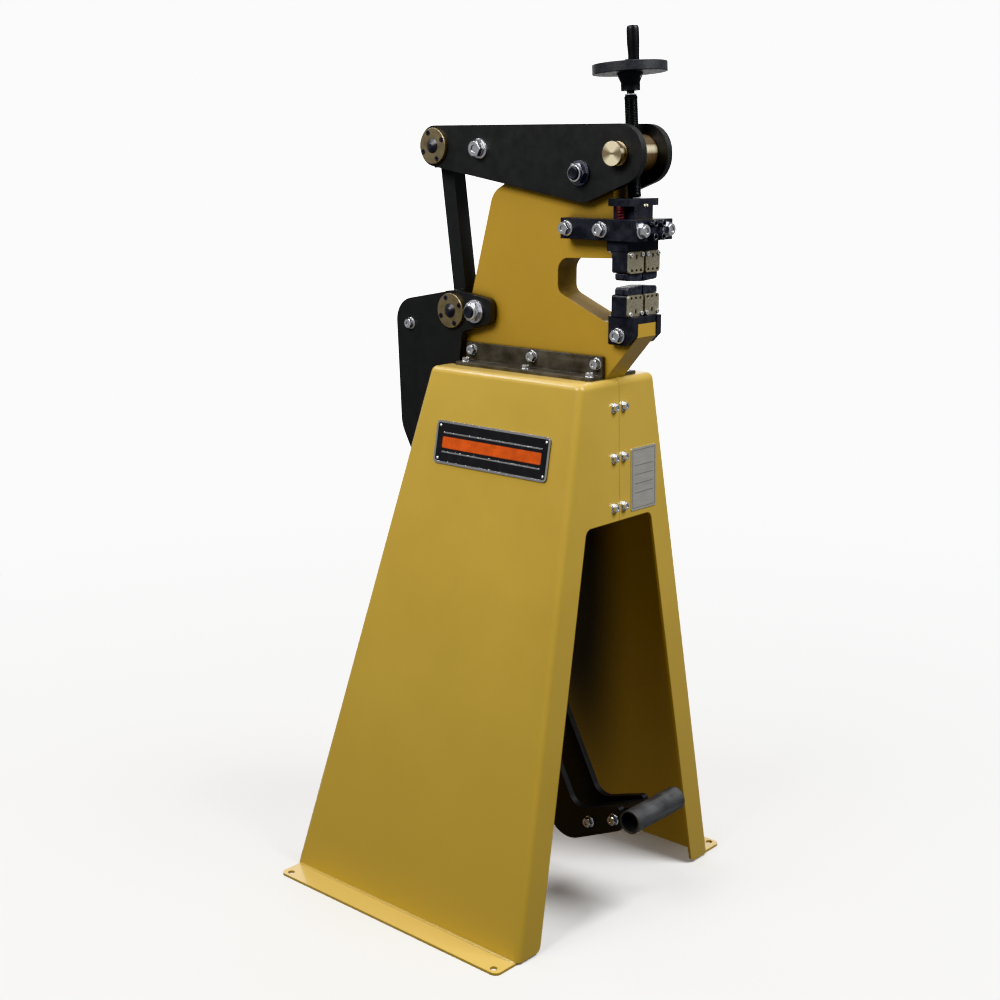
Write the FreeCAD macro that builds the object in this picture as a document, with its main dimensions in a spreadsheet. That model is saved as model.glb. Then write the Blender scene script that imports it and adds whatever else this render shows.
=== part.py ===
import FreeCAD, Part

import math
import os
import re

import Sketcher

# Floor-standing, foot-operated shrinker stretcher.
# +X points at the operator, -Y is the side with the sign plate, +Z is up.
# The origin lies on the floor, midway between the four anchor holes.

Vector = FreeCAD.Vector
Rotation = FreeCAD.Rotation

SIZES = [
    # Stand of bent sheet
    ("stand_height", 965.0),
    ("base_half_width", 282.0),
    ("top_half_width", 101.0),
    ("front_at_floor", 282.0),
    ("front_at_top", 261.0),
    ("rear_at_floor", 285.5),
    ("rear_at_top", 84.0),
    ("gauge", 5.0),
    ("bend_radius", 12.0),
    ("front_flange", 57.0),
    ("rear_flange", 45.0),
    ("rear_notch", 24.0),
    ("flange_lift", 4.5),
    ("flange_round", 12.0),
    ("opening_height", 720.0),
    ("opening_round", 14.0),
    ("seam_gap", 0.5),
    ("foot_flange", 47.0),
    ("foot_half_length", 276.0),
    ("foot_round", 12.0),
    ("anchor_end", 17.0),
    ("anchor_out", 34.5),
    ("anchor_bore", 13.0),
    # Front seam
    ("strap_half_width", 30.0),
    ("strap_thick", 5.0),
    ("strap_margin", 12.0),
    ("seam_bolt_y", 13.0),
    ("seam_bolt_low", 24.0),
    ("seam_bolt_high", 48.0),
    # C-shaped frame
    ("frame_thick", 50.8),
    ("frame_rear", 72.0),
    ("frame_foot_front", 251.0),
    ("frame_rear_wall", 52.0),
    ("shoulder_x", 1.0),
    ("shoulder_drop", 66.0),
    ("shoulder_round", 40.0),
    ("crown_rear_x", 110.0),
    ("crown_rear_drop", 9.0),
    ("crown_front_x", 236.0),
    ("crown_rise", 4.0),
    ("crown_round", 20.0),
    ("brow_drop", 46.0),
    ("throat_x", 147.0),
    ("throat_roof_drop", 34.5),
    ("throat_roof_slope", 4.0),
    ("throat_step", 43.0),
    ("throat_round", 22.0),
    ("throat_low_round", 18.0),
    ("nose_back", 248.0),
    ("nose_back_round", 25.0),
    ("nose_rise", 97.0),
    ("nose_depth", 22.0),
    ("nose_reach", 10.0),
    # Angle brackets at the frame's foot
    ("angle_leg", 38.1),
    ("angle_thick", 6.35),
    ("bracket_rear", 60.0),
    ("bracket_front", 250.0),
    ("bracket_bolt_first", 45.0),
    ("bracket_bolt_step", 141.0),
    ("bracket_bolt_rise", 25.5),
    ("bracket_foot_bolt", 24.0),
    ("bracket_round", 5.0),
    # Fasteners
    ("seam_bolt", 8.0),
    ("plate_bolt", 10.0),
    ("head_bolt", 12.0),
    ("spacer_bolt", 16.0),
    ("pivot_bolt", 20.0),
    ("gib_screw", 8.0),
    ("cover_screw", 4.0),
    ("bearing_screw", 5.0),
    ("bolt_clearance", 1.0),
    ("head_bolt_length", 34.0),
    ("hex_ratio", 1.55),
    ("flange_ratio", 2.2),
    ("flange_thick_ratio", 0.16),
    ("hex_height_ratio", 0.9),
    ("thread_show", 3.0),
    ("washer_thick", 3.0),
    ("washer_half", 20.5),
    ("locking_nut_ratio", 0.65),
    # Lever above the frame
    ("plate_gap", 2.6),
    ("plate_thick", 12.7),
    ("screw_x", 282.0),
    ("screw_rise", 71.0),
    ("pivot_x", 205.0),
    ("pivot_drop", 31.5),
    ("upper_pin_x", 126.0),
    ("upper_pin_rise", 11.5),
    ("lever_top_rise", 47.0),
    ("lever_tip", 49.0),
    ("lever_tip_round", 46.0),
    ("lever_chin", 35.5),
    ("lever_belly_x", 9.0),
    ("lever_belly_drop", 48.5),
    ("lever_belly_round", 40.0),
    ("lever_tail", 35.0),
    ("lever_tail_drop", 30.5),
    ("lever_tail_round", 34.5),
    ("lever_spacer_x", 19.0),
    ("lever_spacer_rise", 7.0),
    ("spacer_half", 15.0),
    # Pins and flanged bearings
    ("pin", 26.0),
    ("bearing_flange", 62.0),
    ("bearing_flange_thick", 6.0),
    ("bearing_body", 37.0),
    ("bearing_screw_circle", 24.5),
    ("bearing_screw_angle", 25.0),
    ("pin_nose", 5.0),
    ("pin_nose_end", 8.0),
    ("bush_wall", 4.0),
    ("bush_proud", 1.2),
    ("running_clearance", 0.05),
    # Link
    ("link_bar", 30.0),
    ("link_block_rear", 27.0),
    ("link_block_front", 21.0),
    ("link_block_length", 36.0),
    ("link_block_half", 25.0),
    ("open_pivot_clearance", 1.2),
    # Treadle
    ("hinge_x", 31.0),
    ("hinge_rise", 95.0),
    ("lower_pin_x", 87.0),
    ("lower_pin_rise", 93.0),
    ("treadle_heel_x", 231.0),
    ("treadle_heel_rise", 102.0),
    ("treadle_heel_round", 44.0),
    ("treadle_crest_x", 82.0),
    ("treadle_crest_rise", 130.0),
    ("treadle_crest_round", 60.0),
    ("treadle_lobe_x", 39.0),
    ("treadle_lobe_top", 23.0),
    ("treadle_lobe_low", 17.0),
    ("treadle_lobe_round", 17.0),
    ("treadle_crook_x", 63.0),
    ("treadle_crook_rise", 56.0),
    ("treadle_crook_round", 14.0),
    ("treadle_waist_x", 97.0),
    ("treadle_waist_drop", 205.0),
    ("treadle_waist_round", 120.0),
    ("treadle_back_x", 221.0),
    ("treadle_back_drop", 131.0),
    ("treadle_back_round", 60.0),
    ("ankle_x", 207.0),
    ("ankle_height", 183.0),
    ("ankle_round", 30.0),
    ("toe_x", 310.0),
    ("toe_top", 217.0),
    ("toe_low", 172.0),
    ("toe_round", 8.0),
    ("knuckle_x", 172.0),
    ("knuckle_height", 109.0),
    ("knuckle_round", 48.0),
    ("treadle_spacer_x", 193.0),
    ("treadle_spacer_rise", 62.0),
    # Pedal
    ("pedal_bolt_x", 240.0),
    ("pedal_bolt_height", 168.0),
    ("pedal_x", 350.0),
    ("pedal_height", 210.0),
    ("pedal_bolt_step", 59.0),
    ("pedal_bar_height", 30.0),
    ("pedal_bar_tail", 22.0),
    ("pedal_tube", 42.2),
    ("pedal_wall", 3.6),
    ("pedal_length", 134.0),
    # Screw and handwheel, measured along the leaning spindle
    ("spindle_lean", 4.0),
    ("spindle", 22.0),
    ("spindle_foot", 18.0),
    ("spindle_foot_gap", 0.4),
    ("spindle_tip", 4.0),
    ("spindle_shoulder", 91.0),
    ("spindle_neck", 13.0),
    ("washer_outside", 20.0),
    ("thrust_washer_thick", 2.0),
    ("thrust_gap", 0.1),
    ("hub_start", 98.0),
    ("hub", 31.5),
    ("hub_straight", 12.5),
    ("hub_cone", 44.0),
    ("hub_cone_height", 14.5),
    ("wheel", 121.5),
    ("wheel_thick", 16.0),
    ("wheel_dish", 76.0),
    ("wheel_dish_depth", 8.0),
    ("wheel_round", 1.2),
    ("handle_circle", 49.0),
    ("handle_angle", 45.0),
    ("handle", 20.4),
    ("handle_foot", 18.2),
    ("handle_taper", 26.0),
    ("handle_length", 52.0),
    ("handle_round", 3.0),
    ("handle_bore", 8.2),
    ("handle_gap", 0.3),
    ("handle_screw_head", 13.0),
    ("handle_screw_sink", 5.0),
    ("handle_screw_top", 4.0),
    ("spool", 60.0),
    ("spool_round", 2.0),
    ("journal", 38.5),
    ("journal_neck", 30.0),
    ("journal_neck_length", 7.0),
    ("journal_end", 8.0),
    # Slide
    ("ram_front", 24.0),
    ("ram_depth", 42.0),
    ("slide_clearance", 0.3),
    ("slide_height", 34.0),
    ("bar_thick", 24.1),
    ("bar_overlap", 91.5),
    ("bar_bolt_first", 12.0),
    ("bar_bolt_step", 72.0),
    ("front_plate_thick", 9.5),
    ("gib_thick", 12.4),
    ("gib_screw_y", 11.0),
    ("gib_screw_z", 10.5),
    ("front_bolt_y", 34.5),
    ("head_lift", 20.5),
    ("head_plate_thick", 12.0),
    ("head_plate_half", 40.0),
    ("holder_half", 42.0),
    ("holder_thick", 16.7),
    ("stop_gap", 0.3),
    ("spring_y", 34.5),
    ("spring_outside", 13.0),
    ("spring_wire", 2.6),
    ("spring_turns", 10.0),
    ("spring_pocket", 14.6),
    ("spring_pocket_depth", 25.0),
    # Dies
    ("die_depth", 32.0),
    ("die_half_width", 41.0),
    ("die_height", 35.5),
    ("die_roof", 13.0),
    ("die_wall", 6.0),
    ("die_round", 4.5),
    ("tongue_height", 12.0),
    ("jaw_show", 14.0),
    ("jaw_crown", 2.4),
    ("jaw_half_width", 34.0),
    ("jaw_head_half", 40.0),
    ("jaw_chamfer", 3.0),
    ("jaw_split", 1.5),
    ("jaw_travel", 1.2),
    ("jaw_fit", 0.3),
    ("die_gap", 6.5),
    ("cover_width", 39.0),
    ("cover_gap", 5.0),
    ("cover_height", 34.5),
    ("cover_thick", 4.0),
    ("cover_round", 4.5),
    ("cover_screw_inset", 4.5),
    ("cover_screw_grip", 5.0),
    ("cover_hole", 5.2),
    ("cover_hole_step", 12.0),
    ("cover_slot", 4.0),
    ("cover_slot_length", 7.0),
    ("cheek_thick", 12.7),
    ("cheek_rear", 40.0),
    ("cheek_proud", 2.0),
    ("cheek_drop", 35.0),
    ("cheek_chamfer", 16.0),
    ("cheek_round", 3.0),
    ("cheek_bolt_x", 19.5),
    ("cheek_bolt_drop", 19.5),
    # Blank plates
    ("sign_x", 83.0),
    ("sign_width", 262.0),
    ("sign_height", 76.0),
    ("sign_drop", 113.0),
    ("sign_thick", 1.5),
    ("sign_round", 8.0),
    ("data_plate_y", 68.0),
    ("data_plate_width", 72.0),
    ("data_plate_height", 110.0),
    ("data_plate_drop", 180.0),
    ("data_plate_thick", 1.2),
    ("data_plate_round", 3.0),
]

doc = FreeCAD.newDocument("shrinker_stretcher")
sheet = doc.addObject("Spreadsheet::Sheet", "Sizes")
for row, (alias, value) in enumerate(SIZES, start=1):
    sheet.set(f"A{row}", alias)
    sheet.set(f"B{row}", str(value))
    sheet.setAlias(f"B{row}", alias)
doc.recompute()

ALIASES = {alias for alias, value in SIZES}
THROUGH = "199"
sub_parts = []

TURNS = {
    "+Z": Rotation(),
    "-Z": Rotation(Vector(1, 0, 0), 180),
    "+Y": Rotation(Vector(1, 0, 0), -90),
    "-Y": Rotation(Vector(1, 0, 0), 90),
    "+X": Rotation(Vector(0, 1, 0), 90),
    "-X": Rotation(Vector(0, 1, 0), -90),
}


def size(alias):
    """A driving dimension's value from the sheet."""
    return float(sheet.get(alias))


def formula(text):
    """The text as an expression, with each alias read from the sheet."""
    return re.sub(r"[a-z_]+", lambda m: "Sizes." + m[0] if m[0] in ALIASES else m[0], str(text))


def bind(thing, **expressions):
    """Binds properties of an object to formulas of the sheet's aliases."""
    for name, text in expressions.items():
        thing.setExpression(name, formula(text))
    return thing


def put(thing, x="0", y="0", z="0", turn="+Z"):
    """Turns an object's +Z to an axis and binds its place."""
    thing.Placement = FreeCAD.Placement(Vector(0, 0, 0), TURNS[turn])
    for name, text in (("x", x), ("y", y), ("z", z)):
        thing.setExpression(f"Placement.Base.{name}", formula(text))
    return thing


def tilt(thing, angle):
    """Turns a placed object about +Y by a bound angle."""
    thing.Placement = FreeCAD.Placement(thing.Placement.Base, Rotation(Vector(0, 1, 0), 1))
    thing.setExpression("Placement.Rotation.Angle", formula(angle))
    return thing


def node(thing, label):
    """Makes an object one of the sub-parts that are written out."""
    thing.Label = label
    sub_parts.append(thing)
    return thing


def box(name, x, y, z):
    """A block between the low and high formulas of each axis."""
    block = doc.addObject("Part::Box", name)
    bind(block, Length=f"{x[1]} - ({x[0]})", Width=f"{y[1]} - ({y[0]})", Height=f"{z[1]} - ({z[0]})")
    return put(block, x[0], y[0], z[0])


def cylinder(name, across, length, x="0", y="0", z="0", turn="+Z"):
    """A round bar of a diameter and length that starts at a point."""
    bar = doc.addObject("Part::Cylinder", name)
    bind(bar, Radius=f"({across}) / 2", Height=length)
    return put(bar, x, y, z, turn)


def drill(name, across, x="0", y="0", z="0", axis="Z"):
    """A long round tool through a point, along an axis."""
    start = {"X": x, "Y": y, "Z": z}
    start[axis] = f"({start[axis]}) - {THROUGH} / 2"
    return cylinder(name, across, THROUGH, start["X"], start["Y"], start["Z"], "+" + axis)


def cone(name, across_low, across_high, length, z="0"):
    frustum = doc.addObject("Part::Cone", name)
    bind(frustum, Radius1=f"({across_low}) / 2", Radius2=f"({across_high}) / 2", Height=length)
    return put(frustum, z=z)


def fuse(name, pieces):
    joined = doc.addObject("Part::MultiFuse", name)
    joined.Shapes = pieces
    joined.Refine = True
    return joined


def group(name, pieces):
    """Separate solids kept together in one object."""
    together = doc.addObject("Part::Compound", name)
    together.Links = pieces
    return together


def cut(name, base, tools):
    result = doc.addObject("Part::Cut", name)
    result.Base = base
    result.Tool = tools[0] if len(tools) == 1 else fuse(name + "_tools", tools)
    result.Refine = True
    return result


def rounded(name, base, radius, wanted):
    """Rounds the edges of a finished object that a test picks out."""
    doc.recompute()
    result = doc.addObject("Part::Fillet", name)
    result.Base = base
    edges = enumerate(base.Shape.Edges, start=1)
    result.Edges = [(index, radius, radius) for index, edge in edges if wanted(edge)]
    return result


def is_rim(edge):
    """A circle at an end of a round piece, not the line along it."""
    return isinstance(edge.Curve, Part.Circle)


def mirrored(name, source):
    """The far twin of a near piece, across the middle plane."""
    twin = doc.addObject("Part::Mirroring", name)
    twin.Source = source
    twin.Normal = Vector(0, 1, 0)
    return twin


def copies(name, master, places):
    """Links to one master, each at an (x, y, z, direction) place."""
    links = []
    for index, (x, y, z, turn) in enumerate(places, start=1):
        link = doc.addObject("App::Link", f"{name}_{index}")
        link.LinkedObject = master
        links.append(put(link, x, y, z, turn))
    return links


def place_point(sketch, geometry, point, x, y):
    """Fixes a sketch point by two bound distances from the origin."""
    for kind, text in (("DistanceX", x), ("DistanceY", y)):
        index = sketch.addConstraint(Sketcher.Constraint(kind, geometry, point, 1.0))
        sketch.setExpression(f"Constraints[{index}]", formula(text))


def corner_edges(feature, sketch, corners):
    """Names of a pad's edges that stand on the given sketch corners."""
    names = []
    normal = sketch.Placement.Rotation.multVec(Vector(0, 0, 1))
    for corner in corners:
        foot = sketch.Placement.multVec(sketch.Geometry[corner].StartPoint)
        for index, edge in enumerate(feature.Shape.Edges, start=1):
            if len(edge.Vertexes) != 2:
                continue
            start, end = (vertex.Point for vertex in edge.Vertexes)
            upright = (end - start).cross(normal).Length < 1e-6
            if upright and (start - foot).cross(normal).Length < 1e-4:
                names.append(f"Edge{index}")
    return names


def plate(name, outline, holes, thick, plane="XZ_Plane"):
    """A flat plate: corners are (across, up, rounding or None), holes are (across, up, diameter).

    On XZ_Plane it fills y from -thick to 0, on YZ_Plane x from 0 to thick.
    """
    body = doc.addObject("PartDesign::Body", name)
    sketch = body.newObject("Sketcher::SketchObject", name + "_sketch")
    origin_plane = next(item for item in body.Origin.OriginFeatures if item.Role == plane)
    sketch.AttachmentSupport = [(origin_plane, "")]
    sketch.MapMode = "FlatFace"
    count = len(outline)
    turns = [math.tau * i / count for i in range(count)]
    ring = [Vector(math.cos(turn), math.sin(turn), 0) for turn in turns]
    for i in range(count):
        sketch.addGeometry(Part.LineSegment(ring[i], ring[(i + 1) % count]), False)
    for i in range(count):
        sketch.addConstraint(Sketcher.Constraint("Coincident", i, 2, (i + 1) % count, 1))
    for i, (across, up, rounding) in enumerate(outline):
        place_point(sketch, i, 1, across, up)
    for across, up, diameter in holes:
        circle = sketch.addGeometry(Part.Circle(Vector(0, 0, 0), Vector(0, 0, 1), 1), False)
        place_point(sketch, circle, 3, across, up)
        index = sketch.addConstraint(Sketcher.Constraint("Diameter", circle, 2.0))
        sketch.setExpression(f"Constraints[{index}]", formula(diameter))
    pad = body.newObject("PartDesign::Pad", name + "_pad")
    pad.Profile = sketch
    bind(pad, Length=thick)
    doc.recompute()
    feature = pad
    roundings = sorted({rounding for across, up, rounding in outline if rounding})
    for rounding in roundings:
        corners = [i for i, corner in enumerate(outline) if corner[2] == rounding]
        fillet = body.newObject("PartDesign::Fillet", f"{name}_{rounding}")
        fillet.Base = (feature, corner_edges(feature, sketch, corners))
        bind(fillet, Radius=rounding)
        doc.recompute()
        feature = fillet
    return body


# Heights, from the stand's top upwards
Z_TOP = "stand_height"
Z_NOSE = f"({Z_TOP} + nose_rise)"
Z_LOWER_BLOCK = f"({Z_NOSE} + tongue_height)"
Z_LOWER_JAW = f"({Z_LOWER_BLOCK} + die_height)"
Z_LOWER_FACE = f"({Z_LOWER_JAW} + jaw_show)"
Z_UPPER_FACE = f"({Z_LOWER_FACE} + die_gap)"
Z_UPPER_JAW = f"({Z_UPPER_FACE} + jaw_show)"
Z_HOLDER = f"({Z_UPPER_JAW} + die_height)"
Z_SLIDE = f"({Z_HOLDER} + holder_thick + stop_gap)"
Z_SLIDE_TOP = f"({Z_SLIDE} + slide_height)"
Z_HEAD = f"({Z_SLIDE_TOP} + head_lift)"
Z_HEAD_TOP = f"({Z_HEAD} + head_plate_thick)"
Z_SCREW = f"({Z_HEAD_TOP} + screw_rise)"
Z_PIVOT = f"({Z_SCREW} - pivot_drop)"
Z_UPPER_PIN = f"({Z_SCREW} + upper_pin_rise)"
Z_LEVER_SPACER = f"({Z_SCREW} + lever_spacer_rise)"
Z_HINGE = f"({Z_TOP} + hinge_rise)"
Z_LOWER_PIN = f"({Z_TOP} + lower_pin_rise)"
Z_TREADLE_SPACER = f"({Z_TOP} + treadle_spacer_rise)"
Z_BRACKET_BOLT = f"({Z_TOP} + bracket_bolt_rise)"
Z_CHEEK_BOLT = f"({Z_NOSE} - cheek_bolt_drop)"
Z_SLIDE_MIDDLE = f"({Z_SLIDE} + slide_height / 2)"

# Places along the machine, from the ram outwards
X_RAM_FRONT = "(screw_x + ram_front)"
X_RAM_REAR = f"({X_RAM_FRONT} - ram_depth)"
X_RAM_MIDDLE = f"({X_RAM_FRONT} - ram_depth / 2)"
X_ARM = f"({X_RAM_REAR} - slide_clearance)"
X_GIB = f"({X_RAM_FRONT} + slide_clearance)"
X_FRONT_PLATE = f"({X_GIB} + gib_thick)"
X_SLIDE_FACE = f"({X_FRONT_PLATE} + front_plate_thick)"
X_BAR_REAR = f"({X_ARM} - bar_overlap)"
X_BAR_BOLT = f"({X_BAR_REAR} + bar_bolt_first)"
X_DIE_REAR = f"({X_RAM_FRONT} - die_depth)"
X_NOSE = f"({X_RAM_FRONT} + nose_reach)"
X_CHEEK_REAR = f"({X_RAM_FRONT} - cheek_rear)"
X_CHEEK_BOLT = f"({X_RAM_FRONT} - cheek_bolt_x)"

# Widths, from the middle plane outwards
FRAME_SIDE = "(frame_thick / 2)"
PLATE_IN = f"({FRAME_SIDE} + plate_gap)"
PLATE_OUT = f"({PLATE_IN} + plate_thick)"
BAR_OUT = f"({FRAME_SIDE} + bar_thick)"
BUSH_OUT = "(pivot_bolt + 2 * bush_wall)"


def bracket_bolts_x():
    return [f"(-bracket_bolt_first + {i} * bracket_bolt_step)" for i in range(3)]


def side_at(height):
    """Half width of the stand at a height."""
    return f"(base_half_width - (base_half_width - top_half_width) * ({height}) / stand_height)"


def front_at(height):
    return f"(front_at_floor - (front_at_floor - front_at_top) * ({height}) / stand_height)"


def rear_at(height):
    return f"(rear_at_floor - (rear_at_floor - rear_at_top) * ({height}) / stand_height)"


def slanted(run):
    """Sheet thickness measured level, through a wall that runs in by this much."""
    return f"(gauge * sqrt(1 + (({run}) / stand_height) ^ 2))"


def wedge(name, low, high, rear, front, inner, outer):
    """A tapered block of the near half: each of rear, front and outer is a formula of a height."""
    block = doc.addObject("Part::Wedge", name)
    bind(block, Ymin=low, Ymax=high, Zmin=inner, Z2min=inner)
    bind(block, Xmin=f"-({rear(low)})", X2min=f"-({rear(high)})")
    bind(block, Xmax=front(low), X2max=front(high))
    bind(block, Zmax=outer(low), Z2max=outer(high))
    block.Placement = FreeCAD.Placement(Vector(0, 0, 0), Rotation(Vector(1, 0, 0), 90))
    return block


def is_bend(edge):
    """An edge between two outer walls of the stand: off the floor and off the seam."""
    return edge.BoundBox.ZMax > 1 and edge.BoundBox.YMin < -size("bend_radius")


def is_flange_corner(edge):
    """The short edge at the free lower corner of a flange."""
    bounds = edge.BoundBox
    low = bounds.ZMax < size("flange_lift") + 0.5 and bounds.ZLength < 0.5
    free = bounds.YLength < 1 and bounds.YMin > 2 * size("bend_radius") - size("base_half_width")
    return low and free


def stand():
    """Two bent sheet halves, open at the front and rear, with feet that bolt down."""
    past = "20"
    outer = wedge("stand_outside", "0", Z_TOP, rear_at, front_at, "seam_gap / 2", side_at)
    side_gauge = slanted("base_half_width - top_half_width")
    front_gauge = slanted("front_at_floor - front_at_top")
    rear_gauge = slanted("rear_at_floor - rear_at_top")
    inner = wedge(
        "stand_inside", f"-{past}", f"({Z_TOP} - gauge)",
        lambda height: f"({rear_at(height)} - {rear_gauge})",
        lambda height: f"({front_at(height)} - {front_gauge})",
        f"-{past}",
        lambda height: f"({side_at(height)} - {side_gauge})",
    )
    outer = rounded("stand_outside_bent", outer, size("bend_radius"), is_bend)
    inner = rounded("stand_inside_bent", inner, size("bend_radius") - size("gauge"), is_bend)
    front_opening = wedge(
        "front_opening", f"-{past}", "opening_height",
        lambda height: f"-(front_at_top - bend_radius - gauge - 2 * {past})",
        lambda height: f"(front_at_floor + {past})",
        f"-{past}",
        lambda height: f"({side_at(height)} - front_flange)",
    )
    top_corner = size("opening_height") - 1
    front_opening = rounded(
        "front_opening_round", front_opening, size("opening_round"),
        lambda edge: edge.BoundBox.ZMin > top_corner and edge.BoundBox.YMax < 0,
    )
    rear_opening = wedge(
        "rear_opening", f"-{past}", f"({Z_TOP} + {past})",
        lambda height: f"(rear_at_floor + {past})",
        lambda height: "-(rear_at_top - rear_notch)",
        f"-{past}",
        lambda height: f"({side_at(height)} - rear_flange)",
    )
    lift = ((f"-base_half_width - {past}", "0"), (f"-{past}", "flange_lift"))
    front_lift = box("front_lift", ("front_at_floor - bend_radius", f"front_at_floor + {past}"), *lift)
    rear_lift = box("rear_lift", (f"-rear_at_floor - {past}", "bend_radius - rear_at_floor"), *lift)
    shell = cut("stand_shell", outer, [inner, front_opening, rear_opening, front_lift, rear_lift])
    shell = rounded("stand_flanges", shell, size("flange_round"), is_flange_corner)
    foot = box(
        "foot_sheet", ("-foot_half_length", "foot_half_length"),
        ("-base_half_width - foot_flange", "-base_half_width + gauge"), ("0", "gauge"),
    )
    foot = rounded(
        "foot_sheet_round", foot, size("foot_round"),
        lambda edge: edge.BoundBox.ZLength > 1 and edge.BoundBox.YMax < -size("base_half_width") - 10,
    )
    half = fuse("stand_half_blank", [shell, foot])
    drills = []
    for side in (-1, 1):
        x = f"{side} * (foot_half_length - anchor_end)"
        drills.append(drill(f"anchor_drill_{side}", "anchor_bore", x, "-base_half_width - anchor_out"))
    bore = "seam_bolt + bolt_clearance"
    for i, z in enumerate(seam_bolt_heights()):
        drills.append(drill(f"seam_drill_{i}", bore, "front_at_top", "-seam_bolt_y", z, "X"))
    for i, x in enumerate(bracket_bolts_x()):
        drills.append(drill(f"top_drill_{i}", bore, x, f"-{FRAME_SIDE} - bracket_foot_bolt", Z_TOP))
    near = node(cut("near_half", half, drills), "stand_half_near")
    node(mirrored("far_half", near), "stand_half_far")


def seam_bolt_heights():
    """Three rows of bolts, evenly spaced from the front opening to the top sheet."""
    low = "(opening_height + seam_bolt_low)"
    high = f"({Z_TOP} - seam_bolt_high)"
    return [f"({low} + {i} * ({high} - {low}) / 2)" for i in range(3)]


FRONT_LEAN = "-atan((front_at_floor - front_at_top) / stand_height)"
SIDE_LEAN = "atan((base_half_width - top_half_width) / stand_height)"


def lean_back(thing):
    """Stands a piece, made with its face at x = 0, on the stand's sloping front."""
    put(thing, "front_at_floor")
    return tilt(thing, FRONT_LEAN)


def flange_bolt(name, across, length, head_length=None):
    """A flanged hexagon bolt, seat at z = 0, head up, shank down."""
    height = head_length or f"(hex_height_ratio * {across})"
    shank = cylinder(name + "_shank", across, f"{length} + 1", z=f"-({length})")
    flange = cone(
        name + "_flange", f"flange_ratio * {across}", f"(flange_ratio - 0.25) * {across}",
        f"flange_thick_ratio * {across}",
    )
    head = hexagon(name + "_head", across, height)
    solid = fuse(name + "_solid", [shank, flange, head])
    dimple = cylinder(name + "_dimple", f"0.8 * {across}", across, z=f"{height} - 0.12 * {across}")
    return cut(name, solid, [dimple])


def hexagon(name, across, height):
    """A hexagon whose upper corners are turned off."""
    prism = doc.addObject("Part::Prism", name + "_prism")
    prism.Polygon = 6
    bind(prism, Circumradius=f"hex_ratio * {across} / sqrt(3)", Height=height)
    turned = cone(name + "_turned", f"2.3 * hex_ratio * {across}", f"0.98 * hex_ratio * {across}", height)
    common = doc.addObject("Part::MultiCommon", name)
    common.Shapes = [prism, turned]
    return common


def flange_nut(name, across):
    """A flanged hexagon nut, seat at z = 0."""
    flange = cone(
        name + "_flange", f"flange_ratio * {across}", f"(flange_ratio - 0.25) * {across}",
        f"flange_thick_ratio * {across}",
    )
    head = hexagon(name + "_head", across, f"(hex_height_ratio * {across})")
    return cut(name, fuse(name + "_solid", [flange, head]), [drill(name + "_bore", across)])


def socket_screw(name, across, length, head, head_height, socket):
    """A round-headed socket screw, seat at z = 0, head up."""
    shank = cylinder(name + "_shank", across, f"{length} + 1", z=f"-({length})")
    solid = fuse(name + "_solid", [shank, cylinder(name + "_head", head, head_height)])
    prism = doc.addObject("Part::Prism", name + "_socket")
    prism.Polygon = 6
    bind(prism, Circumradius=f"({socket}) / sqrt(3)", Height=head_height)
    put(prism, z=f"({head_height}) / 2")
    return cut(name, solid, [prism])


def front_seam():
    """The strap behind the seam and the fasteners of the sheet metal."""
    low = "opening_height + strap_margin"
    high = f"{Z_TOP} - gauge - strap_margin"
    across = ("-strap_half_width", "strap_half_width")
    strap = box("strap_blank", ("-gauge - strap_thick", "-gauge"), across, (low, high))
    bore = "seam_bolt + bolt_clearance"
    places = [("0", y, z, "+X") for z in seam_bolt_heights() for y in ("-seam_bolt_y", "seam_bolt_y")]
    drills = [
        drill(f"strap_drill_{i}", bore, x, y, z, "X") for i, (x, y, z, turn) in enumerate(places)
    ]
    node(lean_back(cut("strap", strap, drills)), "seam_strap")

    seam_grip = "gauge + strap_thick"
    foot_grip = "gauge + angle_thick"
    nut = flange_nut("sheet_nut", "seam_bolt")
    long_end = "(hex_height_ratio * seam_bolt + thread_show)"
    bolt = flange_bolt("sheet_bolt", "seam_bolt", f"({foot_grip} + {long_end})")
    seam_bolts = group("seam_bolts", copies("seam_bolt", bolt, places))
    behind = [(f"-({seam_grip})", y, z, "-X") for x, y, z, turn in places]
    seam_nuts = group("seam_nuts", copies("seam_nut", nut, behind))
    feet = [
        (x, f"{side} * ({FRAME_SIDE} + bracket_foot_bolt)")
        for x in bracket_bolts_x() for side in (-1, 1)
    ]
    foot_bolts = copies("foot_bolt", bolt, [(x, y, f"{Z_TOP} + angle_thick", "+Z") for x, y in feet])
    foot_nuts = copies("foot_nut", nut, [(x, y, f"{Z_TOP} - gauge", "-Z") for x, y in feet])
    node(group("sheet_bolts", [lean_back(seam_bolts)] + foot_bolts), "stand_bolts")
    node(group("sheet_nuts", [lean_back(seam_nuts)] + foot_nuts), "stand_nuts")


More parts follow.
